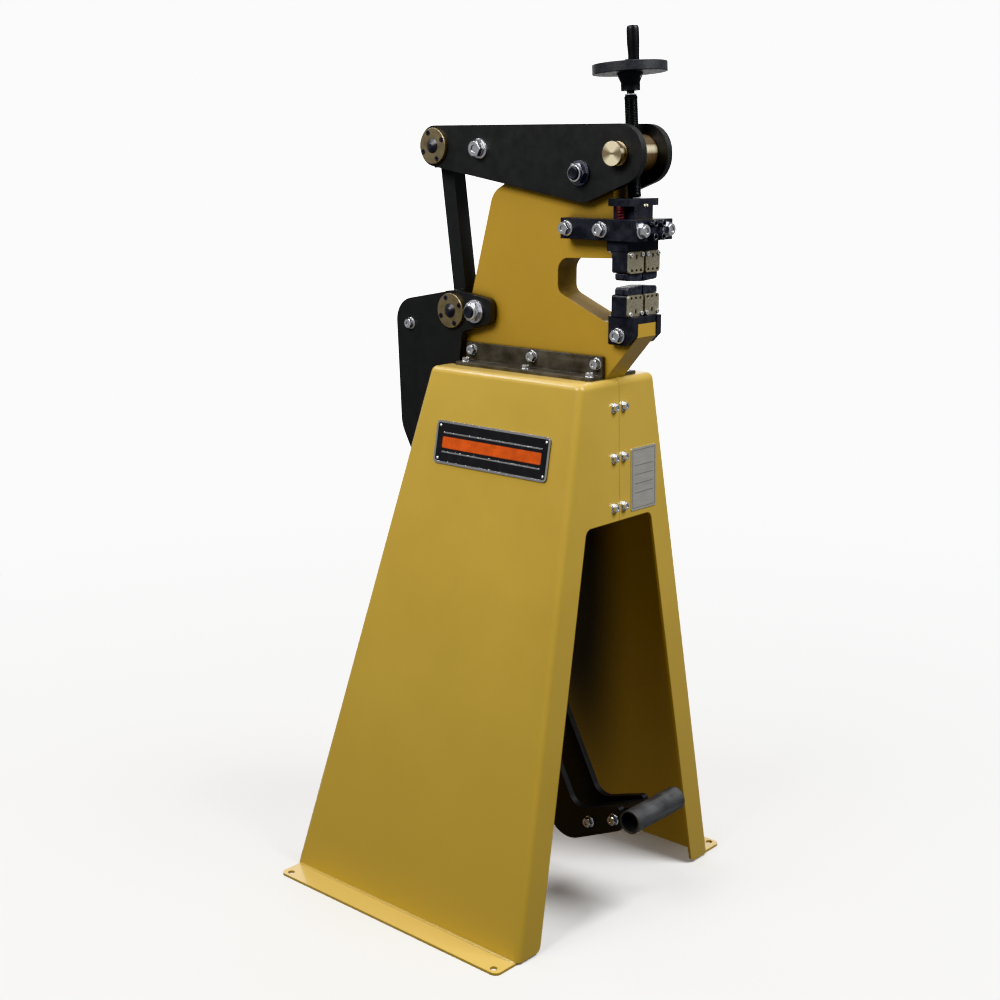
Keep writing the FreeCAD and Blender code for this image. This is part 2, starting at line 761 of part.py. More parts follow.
def c_frame():
    """The thick C-shaped plate that takes the pressing force."""
    outline = [
        ("-frame_rear", Z_TOP, None),
        ("frame_foot_front", Z_TOP, None),
        (X_NOSE, f"{Z_NOSE} - nose_depth", None),
        (X_NOSE, Z_NOSE, None),
        ("nose_back", Z_NOSE, "nose_back_round"),
        ("throat_x", f"{Z_NOSE} + throat_step", "throat_low_round"),
        ("throat_x", f"{Z_SLIDE} - throat_roof_drop", "throat_round"),
        (X_ARM, f"{Z_SLIDE} - throat_roof_drop + throat_roof_slope", None),
        (X_ARM, f"{Z_SCREW} - brow_drop", None),
        ("crown_front_x", f"{Z_SCREW} + crown_rise", "crown_round"),
        ("crown_rear_x", f"{Z_SCREW} - crown_rear_drop", "crown_round"),
        ("-shoulder_x", f"{Z_SCREW} - shoulder_drop", "shoulder_round"),
        ("-frame_rear", f"{Z_TOP} + frame_rear_wall", None),
    ]
    tapped = "head_bolt"
    holes = [
        ("pivot_x", Z_PIVOT, BUSH_OUT),
        ("-hinge_x", Z_HINGE, BUSH_OUT),
        (X_BAR_BOLT, Z_SLIDE_MIDDLE, tapped),
        (f"{X_BAR_BOLT} + bar_bolt_step", Z_SLIDE_MIDDLE, tapped),
        (X_CHEEK_BOLT, Z_CHEEK_BOLT, tapped),
    ]
    holes += [(x, Z_BRACKET_BOLT, "plate_bolt + bolt_clearance") for x in bracket_bolts_x()]
    frame = plate("frame_plate", outline, holes, "frame_thick")
    node(put(frame, y=FRAME_SIDE), "c_frame")


def frame_brackets():
    """Angle irons each side of the frame's foot, with their through bolts."""
    x = ("-bracket_rear", "bracket_front")
    upright = box(
        "bracket_upright", x, (f"-{FRAME_SIDE} - angle_thick", f"-{FRAME_SIDE}"),
        (Z_TOP, f"{Z_TOP} + angle_leg"),
    )
    level = box(
        "bracket_level", x, (f"-{FRAME_SIDE} - angle_leg", f"-{FRAME_SIDE}"),
        (Z_TOP, f"{Z_TOP} + angle_thick"),
    )
    rim = -size("frame_thick") / 2 - size("angle_leg") + 0.1
    angle = rounded(
        "bracket_soft", fuse("bracket_blank", [upright, level]), size("bracket_round"),
        lambda edge: edge.BoundBox.ZLength > 1 and edge.BoundBox.YMax < rim,
    )
    side_bore = "plate_bolt + bolt_clearance"
    foot_bore = "seam_bolt + bolt_clearance"
    foot_y = f"-{FRAME_SIDE} - bracket_foot_bolt"
    drills = []
    for i, bolt_x in enumerate(bracket_bolts_x()):
        drills.append(drill(f"bracket_side_drill_{i}", side_bore, bolt_x, "0", Z_BRACKET_BOLT, "Y"))
        drills.append(drill(f"bracket_foot_drill_{i}", foot_bore, bolt_x, foot_y, Z_TOP))
    near = cut("bracket_angle", angle, drills)
    node(both_sides("bracket", near), "frame_brackets")

    side = f"({FRAME_SIDE} + angle_thick)"
    length = f"(2 * {side} + hex_height_ratio * plate_bolt + thread_show)"
    bolt = flange_bolt("through_bolt", "plate_bolt", length)
    nut = flange_nut("through_nut", "plate_bolt")
    places = bracket_bolts_x()
    bolts = copies("bracket_bolt", bolt, [(bolt_x, f"-{side}", Z_BRACKET_BOLT, "-Y") for bolt_x in places])
    nuts = copies("bracket_nut", nut, [(bolt_x, side, Z_BRACKET_BOLT, "+Y") for bolt_x in places])
    node(group("bracket_bolt_set", bolts), "bracket_bolts")
    node(group("bracket_nut_set", nuts), "bracket_nuts")


def twin_plates(name, outline, holes):
    """A near and a far plate of one outline, each side of the frame."""
    near = put(plate(name + "_near_body", outline, holes, "plate_thick"), y=f"-{PLATE_IN}")
    far = put(plate(name + "_far_body", outline, holes, "plate_thick"), y=PLATE_OUT)
    node(near, name + "_near")
    node(far, name + "_far")


def bearing_screw_places(x, z):
    places = []
    for i in range(4):
        angle = f"(bearing_screw_angle + {90 * i})"
        places.append((
            f"{x} + bearing_screw_circle * cos({angle})",
            f"{z} + bearing_screw_circle * sin({angle})",
        ))
    return places


def both_sides(name, near):
    """A near piece and its far twin in one object."""
    return group(name + "_pair", [near, mirrored(name + "_far", near)])


def flanged_bearings(name, x, z):
    """A bronze flanged bearing in each plate, its screws, and the pin that turns in it."""
    flange = cylinder(name + "_flange", "bearing_flange", "bearing_flange_thick")
    body = cylinder(name + "_body", "bearing_body", "plate_thick + 1", z="-plate_thick")
    blank = fuse(name + "_blank", [rounded_top(name + "_flange_soft", flange, 1.0), body])
    tools = [drill(name + "_bore", "pin")]
    for i, (across, up) in enumerate(bearing_screw_places("0", "0")):
        tools.append(drill(f"{name}_drill_{i}", "bearing_screw", across, up))
        sink = cone(f"{name}_sink_{i}", "bearing_screw", "2 * bearing_screw", "bearing_screw / 2")
        tools.append(put(sink, across, up, "bearing_flange_thick - bearing_screw / 2"))
    bearing = put(cut(name + "_bearing", blank, tools), x, f"-{PLATE_OUT}", z, "-Y")
    node(both_sides(name + "_bearing", bearing), name + "_bearings")

    length = "(bearing_flange_thick + plate_thick / 2)"
    shank = cylinder(name + "_screw_shank", "bearing_screw", length, z=f"-{length}")
    head = cone(name + "_screw_head", "bearing_screw", "2 * bearing_screw", "bearing_screw / 2")
    put(head, z="-bearing_screw / 2")
    socket = doc.addObject("Part::Prism", name + "_screw_socket")
    socket.Polygon = 6
    bind(socket, Circumradius="bearing_screw / 3", Height="bearing_screw")
    put(socket, z="-bearing_screw / 2 + 0.5")
    screw = cut(name + "_screw", fuse(name + "_screw_solid", [shank, head]), [socket])
    seat = f"-{PLATE_OUT} - bearing_flange_thick"
    places = [(screw_x, seat, screw_z, "-Y") for screw_x, screw_z in bearing_screw_places(x, z)]
    near = group(name + "_screw_set", copies(name + "_screw", screw, places))
    node(both_sides(name + "_screw_set", near), name + "_bearing_screws")

    reach = f"({PLATE_OUT} + bearing_flange_thick)"
    shaft = cylinder(name + "_pin_shaft", "pin", f"2 * {reach}", x, f"-{reach}", z, "+Y")
    noses = []
    for i, (y, turn) in enumerate(((f"-{reach}", "-Y"), (reach, "+Y"))):
        nose = cone(f"{name}_pin_nose_{i}", "pin", "pin_nose_end", "pin_nose")
        noses.append(put(nose, x, y, z, turn))
    node(fuse(name + "_pin_solid", [shaft] + noses), name + "_link_pin")


def rounded_top(name, base, radius):
    """Rounds the upper rim of a piece that stands on z = 0."""
    doc.recompute()
    top = base.Shape.BoundBox.ZMax - 1e-3
    return rounded(name, base, radius, lambda edge: edge.BoundBox.ZMin > top)


def pivot_fasteners():
    """The lever's and the treadle's pivot bolts, their locking nuts and the frame's bushes."""
    seat = f"({PLATE_OUT} + washer_thick)"
    nut_height = "(locking_nut_ratio * pivot_bolt)"
    length = f"(2 * {seat} + {nut_height} + thread_show)"
    head = hexagon("pivot_head", "pivot_bolt", "(0.65 * pivot_bolt)")
    shank = cylinder("pivot_shank", "pivot_bolt", f"{length} + 1", z=f"-({length})")
    washer = cylinder("pivot_washer", "2 * washer_half", "washer_thick", z="-washer_thick")
    bolt = fuse("pivot_bolt_master", [head, shank, washer])
    hexagonal = hexagon("locking_hexagon", "pivot_bolt", f"(0.75 * {nut_height})")
    collar_height = f"{nut_height} + washer_thick"
    collar = cylinder("locking_collar", "1.42 * pivot_bolt", collar_height, z="-washer_thick")
    seat_ring = cylinder("locking_washer", "2 * washer_half", "washer_thick", z="-washer_thick")
    blank = fuse("locking_blank", [hexagonal, rounded_top("locking_collar_soft", collar, 1.5), seat_ring])
    nut = cut("locking_nut_master", blank, [drill("locking_bore", "pivot_bolt")])
    for name, x, z in (("lever", "pivot_x", Z_PIVOT), ("treadle", "-hinge_x", Z_HINGE)):
        node(copies(name + "_pivot_bolt_link", bolt, [(x, seat, z, "+Y")])[0], name + "_pivot_bolt")
        node(copies(name + "_pivot_nut_link", nut, [(x, f"-{seat}", z, "-Y")])[0], name + "_pivot_nut")
    ring = cylinder("bush_outside", BUSH_OUT, "frame_thick + 2 * bush_proud")
    bush = cut("bush_master", ring, [drill("bush_bore", "pivot_bolt + 2 * running_clearance")])
    start = f"-{FRAME_SIDE} - bush_proud"
    places = [("pivot_x", start, Z_PIVOT, "+Y"), ("-hinge_x", start, Z_HINGE, "+Y")]
    node(group("bush_pair", copies("bush", bush, places)), "pivot_bushes")


def spacer_tube(name, x, z, bore):
    start = f"-{PLATE_IN}"
    outside = cylinder(name + "_outside", "2 * spacer_half", f"2 * {PLATE_IN}", x, start, z, "+Y")
    node(cut(name + "_tube", outside, [drill(name + "_inside", bore, x, "0", z, "Y")]), name)


def lever():
    """The pair of plates over the frame that turn the link's pull into a push on the screw."""
    tip = "screw_x + lever_tip"
    top = f"{Z_SCREW} + lever_top_rise"
    tail = "-upper_pin_x - lever_tail"
    outline = [
        (tail, f"{Z_UPPER_PIN} - lever_tail_drop", "lever_tail_round"),
        ("pivot_x + lever_belly_x", f"{Z_PIVOT} - lever_belly_drop", "lever_belly_round"),
        (tip, f"{Z_SCREW} - lever_chin", "lever_tip_round"),
        (tip, top, "lever_tip_round"),
        (tail, top, "lever_tail_round"),
    ]
    holes = [
        ("-upper_pin_x", Z_UPPER_PIN, "bearing_body"),
        ("pivot_x", Z_PIVOT, "pivot_bolt"),
        ("screw_x", Z_SCREW, "journal + 2 * running_clearance"),
        ("-lever_spacer_x", Z_LEVER_SPACER, "spacer_bolt"),
    ]
    holes += [(x, z, "bearing_screw") for x, z in bearing_screw_places("-upper_pin_x", Z_UPPER_PIN)]
    twin_plates("lever_plate", outline, holes)
    flanged_bearings("upper", "-upper_pin_x", Z_UPPER_PIN)
    spacer_tube("lever_spacer", "-lever_spacer_x", Z_LEVER_SPACER, "spacer_bolt + bolt_clearance")
    bolt = flange_bolt("lever_spacer_bolt_master", "spacer_bolt", f"2 * {PLATE_OUT}")
    place = [("-lever_spacer_x", f"-{PLATE_OUT}", Z_LEVER_SPACER, "-Y")]
    node(copies("lever_spacer_bolt_link", bolt, place)[0], "lever_spacer_bolt")


def link():
    """The bar from the treadle's pin up to the lever's pin, built upright at the lower pin."""
    run = "(upper_pin_x - lower_pin_x)"
    rise = f"({Z_UPPER_PIN} - {Z_LOWER_PIN})"
    length = f"sqrt({run} ^ 2 + {rise} ^ 2)"
    half = ("-link_block_half", "link_block_half")
    x = ("-link_block_rear", "link_block_front")
    front_eye = "2 * link_block_front"
    pieces = [
        box("link_square", ("-link_bar / 2", "link_bar / 2"), ("-link_bar / 2", "link_bar / 2"),
            ("link_block_length / 2", f"{length} - link_block_length / 2")),
        box("link_low_block", x, half, ("0", "link_block_length")),
        box("link_high_block", ("-link_block_front", "link_block_front"), half,
            (f"{length} - link_block_length", length)),
        cylinder("link_low_eye", front_eye, "2 * link_block_half", "0", half[0], "0", "+Y"),
        cylinder("link_high_eye", front_eye, "2 * link_block_half", "0", half[0], length, "+Y"),
    ]
    bores = [
        drill("link_low_bore", "pin + 2 * running_clearance", axis="Y"),
        drill("link_high_bore", "pin + 2 * open_pivot_clearance", z=length, axis="Y"),
    ]
    solid = cut("link_solid", fuse("link_blank", pieces), bores)
    put(solid, "-lower_pin_x", "0", Z_LOWER_PIN)
    node(tilt(solid, f"-atan({run} / {rise})"), "link_bar")


def treadle():
    """The pair of hanging plates that swing on the frame and carry the pedal."""
    hinge_z = Z_HINGE
    lobe = "-hinge_x + treadle_lobe_x"
    outline = [
        ("-treadle_heel_x", f"{Z_TOP} + treadle_heel_rise", "treadle_heel_round"),
        ("-treadle_back_x", f"{Z_TOP} - treadle_back_drop", "treadle_back_round"),
        ("knuckle_x", "knuckle_height", "knuckle_round"),
        ("toe_x", "toe_low", "toe_round"),
        ("toe_x", "toe_top", "toe_round"),
        ("ankle_x", "ankle_height", "ankle_round"),
        ("-treadle_waist_x", f"{Z_TOP} - treadle_waist_drop", "treadle_waist_round"),
        ("-treadle_crook_x", f"{Z_TOP} + treadle_crook_rise", "treadle_crook_round"),
        (lobe, f"{hinge_z} - treadle_lobe_low", "treadle_lobe_round"),
        (lobe, f"{hinge_z} + treadle_lobe_top", "treadle_lobe_round"),
        ("-treadle_crest_x", f"{Z_TOP} + treadle_crest_rise", "treadle_crest_round"),
    ]
    bolt_bore = "plate_bolt + bolt_clearance"
    holes = [
        ("-hinge_x", hinge_z, "pivot_bolt"),
        ("-lower_pin_x", Z_LOWER_PIN, "bearing_body"),
        ("-treadle_spacer_x", Z_TREADLE_SPACER, bolt_bore),
    ]
    holes += [(x, z, bolt_bore) for x, z in pedal_bolt_places()]
    holes += [(x, z, "bearing_screw") for x, z in bearing_screw_places("-lower_pin_x", Z_LOWER_PIN)]
    twin_plates("treadle_plate", outline, holes)
    flanged_bearings("lower", "-lower_pin_x", Z_LOWER_PIN)
    spacer_tube("treadle_spacer", "-treadle_spacer_x", Z_TREADLE_SPACER, bolt_bore)

    length = f"(2 * {PLATE_OUT} + hex_height_ratio * plate_bolt + thread_show)"
    bolt = flange_bolt("treadle_bolt_master", "plate_bolt", length)
    nut = flange_nut("treadle_nut_master", "plate_bolt")
    places = [("-treadle_spacer_x", Z_TREADLE_SPACER)] + pedal_bolt_places()
    bolts = copies("treadle_bolt", bolt, [(x, f"-{PLATE_OUT}", z, "-Y") for x, z in places])
    nuts = copies("treadle_nut", nut, [(x, PLATE_OUT, z, "+Y") for x, z in places])
    node(group("treadle_bolt_set", bolts), "treadle_bolts")
    node(group("treadle_nut_set", nuts), "treadle_nuts")


PEDAL_RUN = "(pedal_x - pedal_bolt_x)"
PEDAL_RISE = "(pedal_height - pedal_bolt_height)"
PEDAL_REACH = f"sqrt({PEDAL_RUN} ^ 2 + {PEDAL_RISE} ^ 2)"


def pedal_bolt_places():
    """Two bolts on the line from the first bolt to the pedal tube."""
    second = f"pedal_bolt_step / {PEDAL_REACH}"
    return [
        ("pedal_bolt_x", "pedal_bolt_height"),
        (f"pedal_bolt_x + {PEDAL_RUN} * {second}", f"pedal_bolt_height + {PEDAL_RISE} * {second}"),
    ]


def pedal():
    """The bar between the treadle plates and the tube that the foot pushes."""
    half = "pedal_bar_height / 2"
    x = ("-pedal_bar_tail", PEDAL_REACH)
    bar = box("pedal_bar_blank", x, (f"-{PLATE_IN}", PLATE_IN), (f"-{half}", half))
    tools = [
        drill("pedal_drill_first", "plate_bolt + bolt_clearance", axis="Y"),
        drill("pedal_drill_second", "plate_bolt + bolt_clearance", "pedal_bolt_step", axis="Y"),
        drill("pedal_coping", "pedal_tube", PEDAL_REACH, axis="Y"),
    ]
    solid = cut("pedal_bar_solid", bar, tools)
    put(solid, "pedal_bolt_x", "0", "pedal_bolt_height")
    node(tilt(solid, f"-atan({PEDAL_RISE} / {PEDAL_RUN})"), "pedal_bar")
    start = "-pedal_length / 2"
    outside = cylinder(
        "pedal_outside", "pedal_tube", "pedal_length", "pedal_x", start, "pedal_height", "+Y",
    )
    inside = drill("pedal_inside", "pedal_tube - 2 * pedal_wall", "pedal_x", "0", "pedal_height", "Y")
    node(cut("pedal_tube_solid", outside, [inside]), "pedal_tube")


def on_spindle(thing, label):
    """Stands a piece, made round the z axis, on the leaning spindle."""
    put(thing, "screw_x", "0", Z_SCREW)
    return node(tilt(thing, "-spindle_lean"), label)


def screw():
    """The trunnion, the leaning spindle and the handwheel with its turning handle."""
    inner = f"({PLATE_IN} - slide_clearance)"
    neck_end = f"({PLATE_OUT} + slide_clearance + journal_neck_length)"
    reach = f"({neck_end} + journal_end)"
    spool = cylinder("spool_blank", "spool", f"2 * {inner}", "0", f"-{inner}", "0", "+Y")
    spool = rounded("spool_soft", spool, size("spool_round"), is_rim)
    bar = cylinder("journal_bar", "journal", f"2 * {reach}", "0", f"-{reach}", "0", "+Y")
    grooves = []
    for i, y in enumerate((f"-{neck_end}", f"{PLATE_OUT} + slide_clearance")):
        ring = cylinder(f"groove_ring_{i}", "2 * journal", "journal_neck_length", "0", y, "0", "+Y")
        core = cylinder(f"groove_core_{i}", "journal_neck", "journal_neck_length", "0", y, "0", "+Y")
        grooves.append(cut(f"groove_{i}", ring, [core]))
    thread = cylinder(
        "trunnion_thread", "spindle + 2 * running_clearance", THROUGH,
        f"{THROUGH} / 2 * sin(spindle_lean)", "0", f"-{THROUGH} / 2 * cos(spindle_lean)",
    )
    tilt(thread, "-spindle_lean")
    body = cut("trunnion_solid", fuse("trunnion_blank", [spool, bar]), grooves + [thread])
    node(put(body, "screw_x", "0", Z_SCREW), "trunnion")

    foot = "(screw_rise - spindle_foot_gap)"
    length = f"({foot} / cos(spindle_lean) - spindle_foot / 2)"
    ball = doc.addObject("Part::Sphere", "spindle_ball")
    bind(ball, Radius="spindle_foot / 2")
    put(ball, z=f"-{length}")
    shaft_start = f"(spindle_tip - {length})"
    shaft = cylinder("spindle_shaft", "spindle", f"spindle_shoulder - {shaft_start}", z=shaft_start)
    tip = cylinder("spindle_tip_bar", "spindle_foot", "2 * spindle_tip", z=f"-{length}")
    wheel_top = "hub_start + hub_straight + hub_cone_height + wheel_thick"
    neck = cylinder("spindle_neck_bar", "spindle_neck", wheel_top)
    on_spindle(fuse("spindle_solid", [ball, shaft, tip, neck]), "spindle")
    washer_start = "(spindle_shoulder + thrust_gap)"
    ring = cylinder("washer_ring", "washer_outside", "thrust_washer_thick", z=washer_start)
    eye = drill("washer_eye", "spindle_neck + 2 * running_clearance", z=washer_start)
    on_spindle(cut("washer_solid", ring, [eye]), "thrust_washer")

    hub_end = "hub_start + hub_straight"
    wheel_start = f"{hub_end} + hub_cone_height"
    disc = cylinder("wheel_disc", "wheel", "wheel_thick", z=wheel_start)
    disc = rounded("wheel_disc_soft", disc, size("wheel_round"), is_rim)
    blank = fuse("wheel_blank", [
        cylinder("wheel_hub", "hub", "hub_straight + 1", z="hub_start"),
        cone("wheel_cone", "hub", "hub_cone", "hub_cone_height", z=hub_end),
        disc,
    ])
    dish_floor = f"{wheel_start} + wheel_thick - wheel_dish_depth"
    dish = cylinder("wheel_dish_tool", "wheel_dish", "wheel_dish_depth + 1", z=dish_floor)
    dish_core = cylinder("wheel_dish_core", "hub_cone", "wheel_dish_depth + 1", z=dish_floor)
    handle_x = "handle_circle * cos(-handle_angle)"
    handle_y = "handle_circle * sin(-handle_angle)"
    tools = [
        cut("wheel_dish_ring", dish, [dish_core]),
        drill("wheel_bore", "spindle_neck", z=wheel_start),
        drill("wheel_handle_bore", "handle_bore - 2 * handle_gap", handle_x, handle_y, wheel_start),
    ]
    on_spindle(cut("wheel_solid", blank, tools), "handwheel")

    foot_z = f"{wheel_start} + wheel_thick + handle_gap"
    lower = cone("handle_lower", "handle_foot", "handle", "handle_taper")
    put(lower, handle_x, handle_y, foot_z)
    straight = ("handle_length - handle_taper", handle_x, handle_y, f"{foot_z} + handle_taper")
    upper = cylinder("handle_upper", "handle", *straight)
    upper = rounded_top("handle_upper_soft", upper, size("handle_round"))
    grip = fuse("handle_blank", [lower, upper])
    sink_floor = f"{foot_z} + handle_length - handle_screw_sink"
    bores = [
        drill("handle_through", "handle_bore", handle_x, handle_y, foot_z),
        cylinder(
            "handle_sink", "handle_screw_head + 2 * handle_gap", "2 * handle_screw_sink",
            handle_x, handle_y, sink_floor,
        ),
    ]
    on_spindle(cut("handle_solid", grip, bores), "handle")
    shank = cylinder(
        "handle_shank", "handle_bore - 2 * handle_gap", "handle_length + wheel_thick / 2",
        handle_x, handle_y, f"{wheel_start} + wheel_thick / 2",
    )
    cap = cylinder(
        "handle_cap", "handle_screw_head", "handle_screw_top",
        handle_x, handle_y, f"{sink_floor} + handle_gap",
    )
    on_spindle(fuse("handle_bolt_solid", [shank, cap]), "handle_bolt")


def slide():
    """The guide bars on the frame's upper arm and the ram that slides between them."""
    x = (X_BAR_REAR, X_FRONT_PLATE)
    z = (Z_SLIDE, Z_SLIDE_TOP)
    bar = box("bar_blank", x, (f"-{BAR_OUT}", f"-{FRAME_SIDE}"), z)
    pocket = cylinder(
        "spring_pocket_tool", "spring_pocket", "spring_pocket_depth + 1",
        X_RAM_MIDDLE, "-spring_y", f"{Z_SLIDE_TOP} - spring_pocket_depth",
    )
    bolt_bore = "head_bolt + bolt_clearance"
    bolts_x = [X_BAR_BOLT, f"{X_BAR_BOLT} + bar_bolt_step"]
    drills = [
        drill(f"bar_drill_{i}", bolt_bore, bolt_x, "0", Z_SLIDE_MIDDLE, "Y")
        for i, bolt_x in enumerate(bolts_x)
    ]
    tapped = cylinder(
        "bar_end_drill", "head_bolt", "head_bolt_length - front_plate_thick",
        X_FRONT_PLATE, "-front_bolt_y", Z_SLIDE_MIDDLE, "-X",
    )
    near = node(cut("bar_near", bar, drills + [pocket, tapped]), "slide_bar_near")
    node(mirrored("bar_far", near), "slide_bar_far")

    face = box("front_blank", (X_FRONT_PLATE, X_SLIDE_FACE), (f"-{BAR_OUT}", BAR_OUT), z)
    gib_places = [
        (f"{i} * gib_screw_y", f"{Z_SLIDE_MIDDLE} + {k} * gib_screw_z") for i in (-1, 1) for k in (-1, 1)
    ]
    face_drills = [
        drill(f"face_bolt_drill_{i}", bolt_bore, X_SLIDE_FACE, f"{i} * front_bolt_y", Z_SLIDE_MIDDLE, "X")
        for i in (-1, 1)
    ]
    face_drills += [
        drill(f"face_gib_drill_{i}", "gib_screw", X_SLIDE_FACE, gib_y, gib_z, "X")
        for i, (gib_y, gib_z) in enumerate(gib_places)
    ]
    node(cut("front_solid", face, face_drills), "slide_front_plate")
    inner = f"({FRAME_SIDE} - slide_clearance)"
    node(box("gib_solid", (X_GIB, X_FRONT_PLATE), (f"-{inner}", inner), z), "gib_plate")
    screw_master = socket_screw(
        "gib_screw_master", "gib_screw", "front_plate_thick",
        "1.45 * gib_screw", "1.4 * gib_screw", "0.75 * gib_screw",
    )
    gib_seats = [(X_SLIDE_FACE, gib_y, gib_z, "+X") for gib_y, gib_z in gib_places]
    node(group("gib_screw_set", copies("gib_screw", screw_master, gib_seats)), "gib_screws")

    bolt = flange_bolt("head_bolt_master", "head_bolt", "head_bolt_length")
    places = []
    for side, turn in ((-1, "-Y"), (1, "+Y")):
        for bolt_x in bolts_x:
            places.append((bolt_x, f"{side} * {BAR_OUT}", Z_SLIDE_MIDDLE, turn))
        places.append((X_CHEEK_BOLT, f"{side} * ({FRAME_SIDE} + cheek_thick)", Z_CHEEK_BOLT, turn))
        places.append((X_SLIDE_FACE, f"{side} * front_bolt_y", Z_SLIDE_MIDDLE, "+X"))
    node(group("head_bolt_set", copies("head_bolt", bolt, places)), "head_bolts")

    ram_x = (X_RAM_REAR, X_RAM_FRONT)
    ram_pieces = [
        box("ram_holder", ram_x, ("-holder_half", "holder_half"), (Z_HOLDER, f"{Z_SLIDE} - stop_gap")),
        box("ram_guided", ram_x, (f"-{inner}", inner), (Z_HOLDER, Z_HEAD)),
    ]
    node(fuse("ram_solid", ram_pieces), "ram")
    node(
        box("head_plate_solid", ram_x, ("-head_plate_half", "head_plate_half"), (Z_HEAD, Z_HEAD_TOP)),
        "ram_head_plate",
    )


def arc_between(start, direction, end):
    """The arc that leaves start along a unit direction and ends at end."""
    chord = end - start
    turn = direction.getAngle(chord)
    corner = start + direction * (chord.Length / 2 / math.cos(turn))
    middle = (start + end) * 0.5
    bulge = (corner - middle).normalize()
    return Part.Arc(start, middle + bulge * (chord.Length / 2 * math.tan(turn / 2)), end).toShape()


def biarc(start, start_direction, end, end_direction):
    """Two tangent arcs between two points with given unit directions."""
    chord = end - start
    along = chord.dot(start_direction + end_direction)
    bend = 2 * (1 - start_direction.dot(end_direction))
    reach = (-along + math.sqrt(along * along + bend * chord.dot(chord))) / bend
    first = start + start_direction * reach
    second = end - end_direction * reach
    joint = (first + second) * 0.5
    joint_direction = (second - first).normalize()
    return [arc_between(start, start_direction, joint), arc_between(joint, joint_direction, end)]


def coil(radius, rise, turns, wire):
    """One unbroken round wire wound into a spring that stands on z = 0."""
    quarters = int(4 * turns)
    step = (rise - wire) / quarters
    slope = step / (radius * math.pi / 2)

    def point(quarter):
        angle = quarter * math.pi / 2
        return Vector(radius * math.cos(angle), radius * math.sin(angle), wire / 2 + quarter * step)

    def direction(quarter):
        angle = quarter * math.pi / 2
        return Vector(-math.sin(angle), math.cos(angle), slope).normalize()

    edges = []
    for quarter in range(quarters):
        edges += biarc(point(quarter), direction(quarter), point(quarter + 1), direction(quarter + 1))
    path = Part.Wire(edges)
    profile = Part.Wire([Part.makeCircle(wire / 2, point(0), direction(0))])
    shell = Part.BRepOffsetAPI.MakePipeShell(path)
    shell.add(profile)
    shell.build()
    shell.makeSolid()
    gap = least_gap(edges, wire)
    print(f"spring: {turns:g} turns, least gap to itself {gap:.2f} mm, length {path.Length:.0f} mm")
    return shell.shape()


def least_gap(edges, wire):
    """Smallest distance between the surfaces of turns that lie beside each other."""
    samples = [edge.valueAt((edge.FirstParameter + edge.LastParameter) / 2) for edge in edges]
    apart = 6
    distances = [
        (samples[i] - samples[k]).Length
        for i in range(len(samples)) for k in range(i + apart, len(samples))
    ]
    return min(distances) - wire


def return_springs():
    """Two die springs that stand in the guide bars and lift the ram by its head plate."""
    radius = (size("spring_outside") - size("spring_wire")) / 2
    rise = size("spring_pocket_depth") + size("head_lift")
    spring = doc.addObject("Part::Feature", "spring_master")
    spring.Shape = coil(radius, rise, size("spring_turns"), size("spring_wire"))
    z = f"{Z_SLIDE_TOP} - spring_pocket_depth"
    places = [(X_RAM_MIDDLE, f"{side} * spring_y", z, "+Z") for side in (-1, 1)]
    node(group("spring_pair", copies("spring", spring, places)), "return_springs")


COVER_MIDDLE = "((cover_gap + cover_width) / 2)"


def cover_centre(upper):
    """Height of the middle of a block's cover plates."""
    return f"({Z_UPPER_JAW} + die_height / 2)" if upper else f"({Z_LOWER_JAW} - die_height / 2)"


def cover_screw_places(upper):
    """The four screws of a block's cover plates, at the edge away from the jaws."""
    away = 1 if upper else -1
    height = f"({cover_centre(upper)} + {away} * (cover_height / 2 - cover_screw_inset))"
    reach = "(cover_width / 2 - cover_screw_inset)"
    return [(f"{i} * {COVER_MIDDLE} + {k} * {reach}", height) for i in (-1, 1) for k in (-1, 1)]


def die_block(name, low, high, slot, upper):
    """A die body, open in front and at its jaw side, where its outer corners are round."""
    y = ("-die_half_width", "die_half_width")
    solid = box(name + "_blank", (X_DIE_REAR, X_RAM_FRONT), y, (low, high))
    doc.recompute()
    bounds = solid.Shape.BoundBox
    height = bounds.ZMin if upper else bounds.ZMax
    solid = rounded(
        name + "_soft", solid, size("die_round"),
        lambda edge: edge.BoundBox.XLength > 1 and abs(edge.BoundBox.ZMin - height) < 0.01
        and edge.BoundBox.ZLength < 0.01 and edge.BoundBox.YLength < 0.01,
    )
    inner = "(jaw_half_width + jaw_travel + jaw_fit)"
    slot_tool = box(
        name + "_slot", (f"{X_DIE_REAR} + die_wall", f"{X_RAM_FRONT} + 1"), (f"-{inner}", inner), slot,
    )
    tapped = [
        cylinder(f"{name}_tapped_{i}", "cover_screw", "cover_screw_grip + 1", X_RAM_FRONT, across, up, "-X")
        for i, (across, up) in enumerate(cover_screw_places(upper))
    ]
    return cut(name + "_solid", solid, [slot_tool] + tapped)


